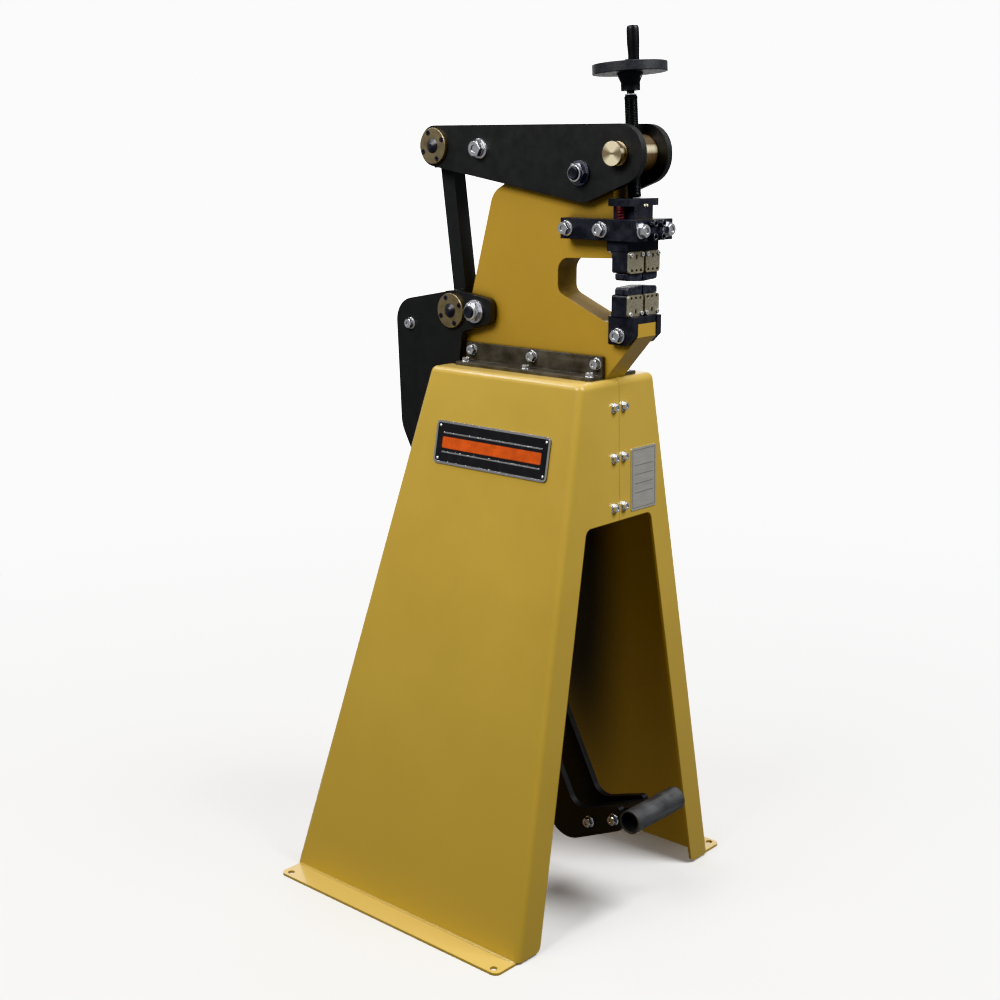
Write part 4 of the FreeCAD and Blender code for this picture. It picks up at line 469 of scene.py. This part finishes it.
def spring_paint(name):
    """Red lacquer on spring wire, rubbed dark in patches."""
    finish = Finish(name, SPRING_RED, 0.55)
    rub = finish.patches(0.4, 0.7, 260.0, 4.0)
    body = finish.blend(rub, SPRING_RED, shade(SPRING_RED, 0.45))
    return finish.use(body, finish.spread(rub, 0.5, 0.65), finish.bump(rub, 0.04 * MM))


def brushed(name, colour, streak, roughness):
    """Sheet metal brushed one way."""
    finish = Finish(name, colour, roughness[0], metallic=1.0)
    soft = finish.soft_edges(0.3 * MM)
    lines = finish.spread(finish.stretched(streak, 4.0), 0.0, 1.0, 0.3, 0.7)
    body = finish.blend(lines, shade(colour, 0.82), shade(colour, 1.12))
    rough = finish.spread(lines, *roughness)
    return finish.use(body, rough, finish.bump(lines, 0.015 * MM, soft))


def enamel(name, colour):
    """Fired enamel: deep gloss over a barely uneven colour."""
    finish = Finish(name, colour, 0.22, coat=0.6, coat_roughness=0.08)
    pool = finish.patches(0.35, 0.7, 60.0, 3.0)
    body = finish.blend(pool, shade(colour, 0.85), shade(colour, 1.2))
    waves = finish.bump(finish.noise(300.0, 2.0), 0.02 * MM)
    return finish.use(body, finish.spread(pool, 0.18, 0.3), waves)


def weld_bead(name):
    """Dark weld metal in overlapping scales."""
    finish = Finish(name, WELD, 0.42, metallic=0.7)
    tint = finish.patches(0.35, 0.7, 160.0, 4.0)
    body = finish.blend(tint, WELD_DARK, WELD_PALE)
    scales = finish.bump(finish.noise(520.0, 2.0), 0.5 * MM)
    return finish.use(body, finish.spread(tint, 0.30, 0.55), scales)


def dress(material, *names):
    """Gives CAD pieces a finish."""
    for name in names:
        mesh = NODES[name].data
        for index in range(len(mesh.materials)):
            mesh.materials[index] = material
        if not mesh.materials:
            mesh.materials.append(material)


def dress_all():
    """Every CAD piece in its own finish."""
    dress(paint("paint_stand", MUSTARD, hollow=True), "stand_half_near", "stand_half_far")
    dress(paint("paint_strap", shade(MUSTARD, 0.9)), "seam_strap")
    dress(paint("paint_frame", MUSTARD_FRAME), "c_frame")
    dress(mill_scale("mill_scale_angle", MILL_SCALE, (4.0, 60.0, 60.0)), "frame_brackets")
    dress(mill_scale("mill_scale_tube", TUBE_SCALE, (60.0, 5.0, 60.0), (0.85, 1.15)), "pedal_tube")
    dress(black_plate("black_lever"), "lever_plate_near", "lever_plate_far")
    dress(black_plate("black_treadle"), "treadle_plate_near", "treadle_plate_far", "pedal_bar")
    dress(black_plate("black_link", (60.0, 60.0, 6.0)), "link_bar")
    dress(black_plate("black_spacer"), "lever_spacer", "treadle_spacer")
    dress(
        black_oxide("oxide_slide"), "slide_bar_near", "slide_bar_far", "slide_front_plate", "ram",
        "ram_head_plate", "upper_die_block", "lower_die_block", "lower_cheeks",
    )
    dress(
        black_oxide("oxide_screws"), "upper_bearing_screws", "lower_bearing_screws",
        "lever_pivot_bolt", "treadle_pivot_bolt", "upper_link_pin", "lower_link_pin",
    )
    # The pale gib edge colour is a painted highlight on the rims of the gib screws.
    dress(black_oxide("oxide_gib", GIB_EDGE), "gib_screws")
    for name, colour in (("lever_pivot_nut", LEVER_NUT), ("treadle_pivot_nut", TREADLE_NUT)):
        dress(turned("steel_" + name, colour, centre(name), "Y", (0.34, 0.46)), name)
    dress(
        zinc("zinc_bolts"), "stand_bolts", "stand_nuts", "bracket_bolts", "bracket_nuts",
        "head_bolts", "treadle_bolts", "treadle_nuts", "lever_spacer_bolt",
    )
    dress(zinc("zinc_cover", COVER_SCREW, (0.34, 0.46)), "upper_cover_screws", "lower_cover_screws")
    for name in ("upper_bearings", "lower_bearings"):
        dress(turned("bronze_" + name, BRONZE, centre(name), "Y", (0.30, 0.50)), name)
    dress(turned("bronze_bushes", BRONZE, centre("pivot_bushes"), "Y"), "pivot_bushes")
    dress(machined_painted_gleam("brass_trunnion", BRASS, centre("trunnion")), "trunnion")
    dress(turned("steel_washer", ZINC, centre("thrust_washer"), "Z"), "thrust_washer")
    dress(turned("steel_handle_bolt", STEEL, centre("handle_bolt"), "Z"), "handle_bolt")
    dress(plastic("plastic_wheel"), "handwheel")
    dress(turned("bronze_gib", BRONZE, centre("gib_plate"), "X"), "gib_plate")
    dress(cover_plate("speckled_cover"), "upper_cover_plates", "lower_cover_plates")
    jaws = ("upper_jaw_near", "upper_jaw_far", "lower_jaw_near", "lower_jaw_far")
    dress(jaw_steel("jaw_steel"), *jaws)
    dress(enamel("enamel_field", ENAMEL), "sign_plate")
    ruled = brushed("brushed_data_plate", DATA_PLATE, (40.0, 40.0, 2500.0), (0.34, 0.48))
    dress(ruled, "data_plate")


def piece(name, bm, body, material, angle=32.0):
    """Turns bmesh geometry into an object that rides on a body."""
    mesh = bpy.data.meshes.new(name)
    bmesh.ops.recalc_face_normals(bm, faces=bm.faces)
    bm.to_mesh(mesh)
    bm.free()
    mesh.shade_smooth()
    mesh.set_sharp_from_angle(angle=math.radians(angle))
    mesh.materials.append(material)
    thing = bpy.data.objects.new(name, mesh)
    bpy.context.scene.collection.objects.link(thing)
    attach(thing, body)
    return thing


def in_mm(points):
    """Points in metres, from points in millimetres."""
    return [tuple(value * MM for value in point) for point in points]


def bridge(bm, first, second):
    """Faces between two loops of as many vertices."""
    for i in range(len(first)):
        n = (i + 1) % len(first)
        bm.faces.new([first[i], first[n], second[n], second[i]])


def lathe(profile, matrix, segments, bm=None, swell=None):
    """Turns (radius, height) points about z; swell(angle, height) adds to a radius."""
    bm = bm or bmesh.new()
    rings = []
    for radius, height in profile:
        if radius == 0:
            rings.append([bm.verts.new(matrix @ Vector((0, 0, height)))])
            continue
        ring = []
        for step in range(segments):
            angle = math.tau * step / segments
            reach = radius + (swell(angle, height) if swell else 0.0)
            point = Vector((reach * math.cos(angle), reach * math.sin(angle), height))
            ring.append(bm.verts.new(matrix @ point))
        rings.append(ring)
    for below, above in zip(rings, rings[1:]):
        for step in range(segments):
            following = (step + 1) % segments
            corners = [below[step % len(below)], below[following % len(below)]]
            corners += [above[following % len(above)], above[step % len(above)]]
            bm.faces.new(list(dict.fromkeys(corners)))
    return bm


def facing(direction, place):
    """A matrix that stands +Z along a direction at a place."""
    turn = Vector(direction).to_track_quat("Z", "Y")
    return Matrix.Translation(place) @ turn.to_matrix().to_4x4()


def rounded_slab(width, height, radius, thick, matrix, bm=None, hole=None):
    """A slab with round corners on z = 0..thick; hole is the width left round an opening."""
    bm = bm or bmesh.new()
    corner_steps = 8
    least_bend = 0.2 * MM

    def loop(inset, level):
        bend = max(radius - inset, least_bend)
        reach_x = width / 2 - inset - bend
        reach_y = height / 2 - inset - bend
        verts = []
        for corner, (right, upper) in enumerate(((1, 1), (-1, 1), (-1, -1), (1, -1))):
            for step in range(corner_steps + 1):
                angle = (corner + step / corner_steps) * math.pi / 2
                x = right * reach_x + bend * math.cos(angle)
                y = upper * reach_y + bend * math.sin(angle)
                verts.append(bm.verts.new(matrix @ Vector((x, y, level))))
        return verts

    bottom, top = loop(0.0, 0.0), loop(0.0, thick)
    bridge(bm, bottom, top)
    if hole is None:
        bm.faces.new(top)
        bm.faces.new(bottom[::-1])
        return bm
    inner_bottom, inner_top = loop(hole, 0.0), loop(hole, thick)
    bridge(bm, inner_top, inner_bottom)
    bridge(bm, top, inner_top)
    bridge(bm, inner_bottom, bottom)
    return bm


def closed_wire(points, radius):
    """The mesh of a round wire along a closed line of points."""
    curve = bpy.data.curves.new("wire", "CURVE")
    curve.dimensions = "3D"
    curve.bevel_depth = radius
    curve.bevel_resolution = 3
    spline = curve.splines.new("POLY")
    spline.points.add(len(points) - 1)
    for target, point in zip(spline.points, points):
        target.co = (*point, 1.0)
    spline.use_cyclic_u = True
    holder = bpy.data.objects.new("wire", curve)
    mesh = bpy.data.meshes.new_from_object(holder)
    bm = bmesh.new()
    bm.from_mesh(mesh)
    bpy.data.objects.remove(holder)
    bpy.data.curves.remove(curve)
    bpy.data.meshes.remove(mesh)
    return bm


def spindle_matrix():
    """The leaning spindle's own frame: +Z up the spindle from the trunnion's middle."""
    return Matrix.Translation(centre("trunnion")) @ Matrix.Rotation(-SPINDLE_LEAN, 4, "Y")


def spindle():
    """The adjusting screw with a fine thread, in place of its plain solid.

    The thread's root and flanks are shares of its pitch.
    """
    pitch = 2.5 * MM
    steps_per_turn = 10
    depth = 0.7 * MM
    half_root, flank_width = 0.10, 0.16
    chamfer = 2.0 * MM
    plain_end = 5.0 * MM
    foot_gap = 0.7 * MM
    under_wheel_top = 4.0 * MM
    foot_round = ((0.0, 0.0), (0.72, 0.3), (0.92, 0.8), (1.0, 2.0))
    origin = centre("trunnion").z
    foot = foot_gap - (origin - high("ram_head_plate").z) / math.cos(SPINDLE_LEAN)
    top = high("handwheel").z - origin - under_wheel_top
    thread_low = foot + plain_end
    thread_high = SHOULDER - plain_end

    def groove(angle, height):
        if not thread_low < height < thread_high:
            return 0.0
        fade = min(1.0, (height - thread_low) / pitch, (thread_high - height) / pitch)
        turn = (height / pitch - angle / math.tau) % 1.0
        flank = min(1.0, max(0.0, (abs(turn - 0.5) - half_root) / flank_width))
        return -depth * (1.0 - flank) * fade

    profile = [(share * SPINDLE_RADIUS, foot + up * MM) for share, up in foot_round]
    length = thread_high - thread_low
    steps = int(length / (pitch / steps_per_turn))
    profile += [(SPINDLE_RADIUS, thread_low + length * step / steps) for step in range(steps + 1)]
    profile += [(SPINDLE_RADIUS, SHOULDER - chamfer), (SPINDLE_RADIUS - chamfer, SHOULDER)]
    profile += [(NECK_RADIUS, SHOULDER), (NECK_RADIUS, top), (0.0, top)]
    bm = lathe(profile, spindle_matrix(), 48, swell=groove)
    oily = black_oxide("oxide_thread", THREAD_BLACK, THREAD_BLACK, 0.35)
    thing = piece("threaded_spindle", bm, "screw", oily, 40.0)
    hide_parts("spindle")


def handle():
    """The turning handle, a little slimmer at the foot, with its screw sunk in the top."""
    x = HANDLE_CIRCLE * math.cos(HANDLE_ANGLE)
    y = HANDLE_CIRCLE * math.sin(HANDLE_ANGLE)
    matrix = spindle_matrix() @ Matrix.Translation((x, y, WHEEL_FACE + 0.3 * MM))
    bore = 4.1 * MM
    well = 6.8 * MM
    well_floor = HANDLE_LENGTH - 5.0 * MM
    outline = [
        (8.5, 0.0), (9.0, 0.5), (9.05, 3.0), (9.15, 8.0), (9.5, 14.0), (9.85, 20.0), (10.15, 27.0),
        (10.2, 36.0), (10.15, 44.0), (9.95, 48.0), (9.2, 50.8), (8.0, 51.8), (7.2, 52.0),
    ]
    profile = [(bore, 0.0)] + in_mm(outline)
    profile += [(well, HANDLE_LENGTH), (well, well_floor), (bore, well_floor), (bore, 0.0)]
    bm = lathe(profile, matrix, 56)
    bmesh.ops.remove_doubles(bm, verts=bm.verts, dist=SAME_PLACE)
    grip = plastic("plastic_handle", HANDLE_BLACK, 1300.0, 0.3)
    thing = piece("handle_grip", bm, "grip", grip, 40.0)
    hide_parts("handle")


def wheel_details():
    """The set screw in the hub's cone and the screw and washer on the spindle's end."""
    matrix = spindle_matrix()
    steel = zinc("zinc_small")
    angle = math.radians(8.0)
    share_of_cone = 0.6
    rise = WHEEL_START - HUB_CONE_START
    flare = CONE_RADIUS - HUB_RADIUS
    slope = math.atan2(rise, flare)
    reach = HUB_RADIUS + share_of_cone * flare
    around = Vector((math.cos(angle), math.sin(angle), 0))
    outward = around * math.sin(slope) - Vector((0, 0, math.cos(slope)))
    place = around * reach + Vector((0, 0, HUB_CONE_START + share_of_cone * rise))
    cup = [(0.0, -1.0), (1.3, -1.0), (1.5, 0.9), (2.6, 0.9), (3.0, 0.5), (3.0, -2.0), (0.0, -2.0)]
    bm = lathe(in_mm(cup), matrix @ facing(outward, place), 24)
    piece("hub_set_screw", bm, "screw", steel)
    washer = [
        (0.0, 0.0), (13.0, 0.0), (13.0, 1.6), (12.6, 2.0), (8.0, 2.0), (8.0, 6.4), (7.2, 7.2),
        (4.0, 7.2), (4.0, 4.0), (0.0, 4.0),
    ]
    top = matrix @ Matrix.Translation((0, 0, WHEEL_FACE - 0.5 * MM))
    piece("wheel_screw", lathe(in_mm(washer), top, 40), "screw", steel)


def coil_mesh(middle, radius, base, top, turns, wire_across, wire_up):
    """A spring of flat-sided wire between two heights, its end turns closed."""
    steps = 28 * turns
    closed_share = 0.06
    closed_rise = 0.04
    bevel = 0.28
    section = []
    for across, up in ((1, 1), (-1, 1), (-1, -1), (1, -1)):
        first = (across, up * (1 - bevel))
        second = (across * (1 - bevel), up)
        section += [first, second] if across * up > 0 else [second, first]
    bm = bmesh.new()
    rings = []
    for step in range(steps + 1):
        share = step / steps
        open_share = min(max((share - closed_share) / (1 - 2 * closed_share), 0.0), 1.0)
        rise = closed_rise * share + (1 - closed_rise) * open_share
        height = base + wire_up / 2 + (top - base - wire_up) * rise
        angle = math.tau * turns * share
        outward = Vector((math.cos(angle), math.sin(angle), 0))
        ring = []
        for across, up in section:
            place = middle + outward * (radius + across * wire_across / 2)
            ring.append(bm.verts.new((place.x, place.y, height + up * wire_up / 2)))
        rings.append(ring)
    for below, above in zip(rings, rings[1:]):
        bridge(bm, below, above)
    bm.faces.new(rings[0][::-1])
    bm.faces.new(rings[-1])
    return bm


def springs():
    """The two flat-wire return springs under the head plate."""
    turns = 10
    wire_across = 2.4 * MM
    wire_up = 3.9 * MM
    first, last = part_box("return_springs")
    outside = (last.x - first.x) / 2
    reach = (last.y - first.y) / 2 - outside
    radius = outside - wire_across / 2
    material = spring_paint("spring_paint")
    for side, label in SIDES:
        middle = Vector(((first.x + last.x) / 2, side * reach, 0))
        bm = coil_mesh(middle, radius, first.z, last.z, turns, wire_across, wire_up)
        thing = piece(f"return_spring_{label}", bm, "stand", material, 50.0)
        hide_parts("return_springs")
        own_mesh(thing)


def on_sheet(along, slope, outward, place):
    """A matrix with +X along a sheet, +Y up its slope and +Z out of it."""
    return Matrix.Translation(place) @ Matrix((along, slope, outward)).transposed().to_4x4()


def on_side(x, up, out):
    """A matrix on the stand's near side, a way up its slope and out of it."""
    lean = math.atan((HALF_AT_FLOOR - HALF_AT_TOP) / STAND_HEIGHT)
    slope = Vector((0, math.sin(lean), math.cos(lean)))
    outward = Vector((0, -math.cos(lean), math.sin(lean)))
    place = Vector((x, -HALF_AT_FLOOR, 0)) + slope * up + outward * out
    return on_sheet((1, 0, 0), slope, outward, place)


def sign():
    """The sign plate's raised rim, one plain band with two fine lines, and four rivets."""
    rim_width, rim_round, rim_rise = 4.0 * MM, 8.0 * MM, 0.9 * MM
    band_height, band_round, band_rise = 20.0 * MM, 2.5 * MM, 0.35 * MM
    line_height, line_round = 2.4 * MM, 1.0 * MM
    margin = 17.0 * MM
    line_away = 17.0 * MM
    rivet_inset = 9.0 * MM
    x = centre("sign_plate").x
    up = STAND_HEIGHT - SIGN_DROP
    width = high("sign_plate").x - low("sign_plate").x
    length = width - 2 * margin
    middle = on_side(x, up, SIGN_THICK)
    silver = brushed("brushed_rim", RIM, (2200.0, 60.0, 60.0), (0.16, 0.30))
    rim = rounded_slab(width, SIGN_HEIGHT, rim_round, rim_rise, middle, hole=rim_width)
    piece("sign_rim", rim, "stand", silver)
    band = rounded_slab(length, band_height, band_round, band_rise, middle)
    piece("sign_band", band, "stand", enamel("enamel_orange", ORANGE))
    for index, way in enumerate((-1, 1)):
        place = on_side(x, up + way * line_away, SIGN_THICK)
        line = rounded_slab(length, line_height, line_round, band_rise, place)
        piece(f"sign_line_{index}", line, "stand", silver)
    rivet = in_mm([(0.0, 1.7), (1.3, 1.55), (2.3, 1.0), (2.7, 0.0), (0.0, 0.0)])
    rivets = bmesh.new()
    for side in (-1, 1):
        for level in (-1, 1):
            rivet_x = x + side * (width / 2 - rivet_inset)
            rivet_up = up + level * (SIGN_HEIGHT / 2 - rivet_inset)
            lathe(rivet, on_side(rivet_x, rivet_up, SIGN_THICK), 20, rivets)
    piece("sign_rivets", rivets, "stand", zinc("zinc_rivets"))


def foot_bends():
    """The bend between each side sheet and its foot, from front to rear."""
    bend = 3.0 * MM
    sunk = 0.4 * MM
    steps = 6
    drift = (HALF_AT_FLOOR - HALF_AT_TOP) / STAND_HEIGHT
    half_length = FOOT_HALF_LENGTH - 2.0 * MM
    material = NODES["stand_half_near"].data.materials[0]
    corner = Vector((HALF_AT_FLOOR - drift * SHEET, SHEET))
    high_end = Vector((HALF_AT_FLOOR - drift * (SHEET + bend), SHEET + bend))
    low_end = Vector((corner.x + bend, SHEET))
    section = []
    for t in (step / steps for step in range(steps + 1)):
        section.append(high_end * (1 - t) ** 2 + corner * (2 * t * (1 - t)) + low_end * t ** 2)
    section.append(corner - Vector((sunk, sunk)))
    for side, label in SIDES:
        bm = bmesh.new()
        rear, front = [
            [bm.verts.new((x, side * point.x, point.y)) for point in section]
            for x in (-half_length, half_length)
        ]
        bridge(bm, rear, front)
        bm.faces.new(rear)
        bm.faces.new(front[::-1])
        piece(f"foot_bend_{label}", bm, "stand", material, 40.0)


def small_screws(name, places, direction, profile, material):
    """Round heads that ride on the ram, one at each place."""
    bm = bmesh.new()
    for place in places:
        lathe(in_mm(profile), facing(direction, place), 24, bm)
    piece(name, bm, "ram", material)


def ram_details():
    """Brass screws and a plug on the ram's front, and two bright screws under its holder."""
    front = high("ram").x
    under_plate = low("ram_head_plate").z
    brass = [(0.0, 1.0), (0.7, 1.0), (0.9, 1.9), (1.7, 1.9), (2.3, 1.3), (2.4, 0.0), (0.0, 0.0)]
    places = [Vector((front, y * MM, under_plate + 0.6 * MM)) for y in (1.2, 7.9)]
    metal = turned("brass_small", BRASS_SCREW, centre("ram"), "X", (0.30, 0.40))
    small_screws("ram_brass_screws", places, (1, 0, 0), brass, metal)
    plug = [(0.0, 0.2), (1.6, 0.2), (1.8, 0.9), (2.8, 0.9), (3.1, 0.5), (3.1, 0.0), (0.0, 0.0)]
    places = [Vector((front, -18.6 * MM, under_plate - 7.3 * MM))]
    small_screws("ram_plug", places, (1, 0, 0), plug, black_oxide("oxide_plug"))
    bright = [(0.0, 1.0), (1.2, 1.0), (1.4, 3.0), (2.6, 3.0), (3.0, 2.4), (3.0, 0.0), (0.0, 0.0)]
    rear = (low("ram").x + low("upper_die_block").x) / 2
    reach = high("ram").y - 3.5 * MM
    places = [Vector((rear, way * reach, low("ram").z)) for way in (-1, 1)]
    small_screws("die_rear_screws", places, (0, 0, -1), bright, zinc("zinc_die"))


def pivot_ends():
    """The dark, dished ends of the two pivot bolts inside a bright ring on their locking nuts."""
    dark = black_oxide("oxide_bolt_end")
    chrome = zinc("chrome_ring", CHROME, (0.16, 0.24))
    end = [(0.0, -0.1), (6.4, -0.1), (7.2, 0.35), (8.6, 0.35), (9.6, -0.1), (9.6, -0.8), (0.0, -0.8)]
    ring = [
        (10.6, -1.5), (10.6, 0.25), (11.2, 0.6), (12.6, 0.5), (13.6, -0.3), (14.1, -1.4),
        (10.6, -1.5),
    ]
    for body in ("lever", "treadle"):
        bolt = body + "_pivot_bolt"
        nut = body + "_pivot_nut"
        middle = centre(bolt)
        place = Vector((middle.x, low(bolt).y, middle.z))
        bm = lathe(in_mm(end), facing((0, -1, 0), place), 40)
        piece(bolt + "_end", bm, body, dark)
        place = Vector((middle.x, low(nut).y, middle.z))
        bm = lathe(in_mm(ring), facing((0, -1, 0), place), 48)
        bmesh.ops.remove_doubles(bm, verts=bm.verts, dist=SAME_PLACE)
        piece(nut + "_ring", bm, body, chrome)


def pedal_weld():
    """The weld bead where the pedal bar meets the pedal tube."""
    bead_radius = 2.4 * MM
    half_bar = 15.0 * MM
    half_width = 28.0 * MM
    bar_rise, bar_run = 42.0, 110.0
    steps = 14
    middle = centre("pedal_tube")
    radius = (high("pedal_tube").z - low("pedal_tube").z) / 2
    bar_lean = math.atan2(bar_rise, bar_run)
    along = Vector((math.cos(bar_lean), 0, math.sin(bar_lean)))
    across = Vector((-math.sin(bar_lean), 0, math.cos(bar_lean)))

    def on_tube(offset, y):
        back = math.sqrt(radius ** 2 - offset ** 2)
        return middle - along * back + across * offset + Vector((0, y, 0))

    path = []
    for way in (1, -1):
        for share in (2 * step / steps - 1 for step in range(steps)):
            path.append(on_tube(way * half_bar, way * half_width * share))
        for share in (1 - 2 * step / steps for step in range(steps)):
            path.append(on_tube(way * half_bar * share, way * half_width))
    bm = closed_wire(path, bead_radius)
    piece("pedal_weld", bm, "treadle", weld_bead("weld_bead"), 60.0)


def data_plate_lines():
    """A thin ruled frame with empty fields on the data plate."""
    rise = 0.12 * MM
    frame_inset, frame_width, frame_round = 4.0 * MM, 0.7 * MM, 2.0 * MM
    line_inset, line_width, line_round = 10.0 * MM, 0.8 * MM, 0.3 * MM
    lean = math.atan((FRONT_AT_FLOOR - FRONT_AT_TOP) / STAND_HEIGHT)
    slope = Vector((-math.sin(lean), 0, math.cos(lean)))
    outward = Vector((math.cos(lean), 0, math.sin(lean)))
    up = STAND_HEIGHT - DATA_PLATE_DROP
    place = Vector((FRONT_AT_FLOOR, centre("data_plate").y, 0)) + slope * up
    basis = on_sheet((0, 1, 0), slope, outward, place + outward * DATA_PLATE_THICK)
    width = high("data_plate").y - low("data_plate").y
    height = DATA_PLATE_HEIGHT - 2 * frame_inset
    bm = rounded_slab(
        width - 2 * frame_inset, height, frame_round, rise, basis, hole=frame_width,
    )
    for level in (-24.0, -8.0, 8.0, 24.0):
        line = basis @ Matrix.Translation((0, level * MM, 0))
        rounded_slab(width - 2 * line_inset, line_width, line_round, rise, line, bm)
    piece("data_plate_lines", bm, "stand", enamel("enamel_lines", LINE_ENAMEL))


def floor():
    """A pale floor that fades into the backdrop."""
    radius = 14.0
    clear_from, clear_to = 0.7, 3.2
    bm = bmesh.new()
    bmesh.ops.create_circle(bm, cap_ends=True, radius=radius, segments=96)
    mesh = bpy.data.meshes.new("floor")
    bm.to_mesh(mesh)
    bm.free()
    finish = Finish("floor", FLOOR, 0.6)
    finish.use(finish.blend(finish.noise(2.0, 4.0), FLOOR_DULL, FLOOR_PALE))
    away = finish.vector("LENGTH", finish.place)
    fade = finish.spread(away, 0.0, 1.0, clear_from, clear_to)
    clear = finish.add("ShaderNodeBsdfTransparent").outputs[0]
    mixed = finish.add("ShaderNodeMixShader", {0: fade, 1: finish.shader.outputs[0], 2: clear})
    finish.put(finish.tree.nodes["Material Output"], {"Surface": mixed.outputs[0]})
    mesh.materials.append(finish.material)
    ground = bpy.data.objects.new("floor", mesh)
    bpy.context.scene.collection.objects.link(ground)
    ground.location.z = cad_bounds[0][2] - 0.2 * MM
    ground.visible_diffuse = False
    ground.visible_glossy = False


def softbox(name, place, target, width, height, power, colour=(1.0, 1.0, 1.0)):
    """A rectangular lamp that faces a target."""
    lamp = bpy.data.lights.new(name, "AREA")
    lamp.shape = "RECTANGLE"
    lamp.size = width
    lamp.size_y = height
    lamp.energy = power
    lamp.color = colour
    holder = bpy.data.objects.new(name, lamp)
    bpy.context.scene.collection.objects.link(holder)
    turn = (Vector(target) - Vector(place)).to_track_quat("-Z", "Y")
    holder.matrix_world = Matrix.Translation(place) @ turn.to_matrix().to_4x4()


def room():
    """A white room that lights weakly, shows white and is a little brighter in reflections."""
    fill, shown, mirrored = 0.15, 2.2, 0.20
    world = bpy.data.worlds.new("studio")
    bpy.context.scene.world = world
    world.use_nodes = True
    tree = world.node_tree
    background = tree.nodes["Background"]
    background.inputs["Color"].default_value = (1.0, 1.0, 1.0, 1)
    path = tree.nodes.new("ShaderNodeLightPath")
    strength = tree.nodes.new("ShaderNodeMapRange")
    strength.inputs["To Min"].default_value = fill
    strength.inputs["To Max"].default_value = shown
    tree.links.new(path.outputs["Is Camera Ray"], strength.inputs["Value"])
    total = tree.nodes.new("ShaderNodeMath")
    total.operation = "MULTIPLY_ADD"
    total.inputs[1].default_value = mirrored
    tree.links.new(path.outputs["Is Glossy Ray"], total.inputs[0])
    tree.links.new(strength.outputs["Result"], total.inputs[2])
    tree.links.new(total.outputs[0], background.inputs["Strength"])
    bpy.context.scene.view_settings.view_transform = "Khronos PBR Neutral"


def light():
    """Large soft lamps overhead and to the sides, in a near-white room."""
    target = (0.0, 0.0, 0.8)
    stand_top = (0.1, -0.1, 0.96)
    warm = (1.0, 0.98, 0.95)
    softbox("overhead_side", (-0.4, -2.7, 3.3), target, 2.4, 1.6, 135.0, warm)
    softbox("overhead_front", (2.3, 0.5, 3.3), target, 1.6, 1.8, 135.0)
    softbox("behind", (-2.6, 2.9, 1.6), target, 4.4, 2.4, 60.0)
    softbox("streak", (-1.9, -0.6, 3.2), stand_top, 0.7, 0.35, 22.0)
    room()


def camera():
    """The camera that took the photograph, as far as its lines give it."""
    lens = bpy.data.cameras.new("photo_camera")
    lens.lens = CAMERA_LENS
    lens.sensor_width = 36.0
    lens.shift_x, lens.shift_y = CAMERA_SHIFT
    holder = bpy.data.objects.new("photo_camera", lens)
    bpy.context.scene.collection.objects.link(holder)
    level = math.pi / 2
    turn = Matrix.Rotation(CAMERA_YAW, 4, "Z") @ Matrix.Rotation(level + CAMERA_PITCH, 4, "X")
    holder.matrix_world = (
        Matrix.Translation(CAMERA_PLACE) @ turn @ Matrix.Rotation(CAMERA_ROLL, 4, "Z")
    )
    bpy.context.scene.camera = holder


dress_all()
spindle()
handle()
wheel_details()
springs()
sign()
data_plate_lines()
foot_bends()
ram_details()
pivot_ends()
pedal_weld()
floor()
light()
camera()
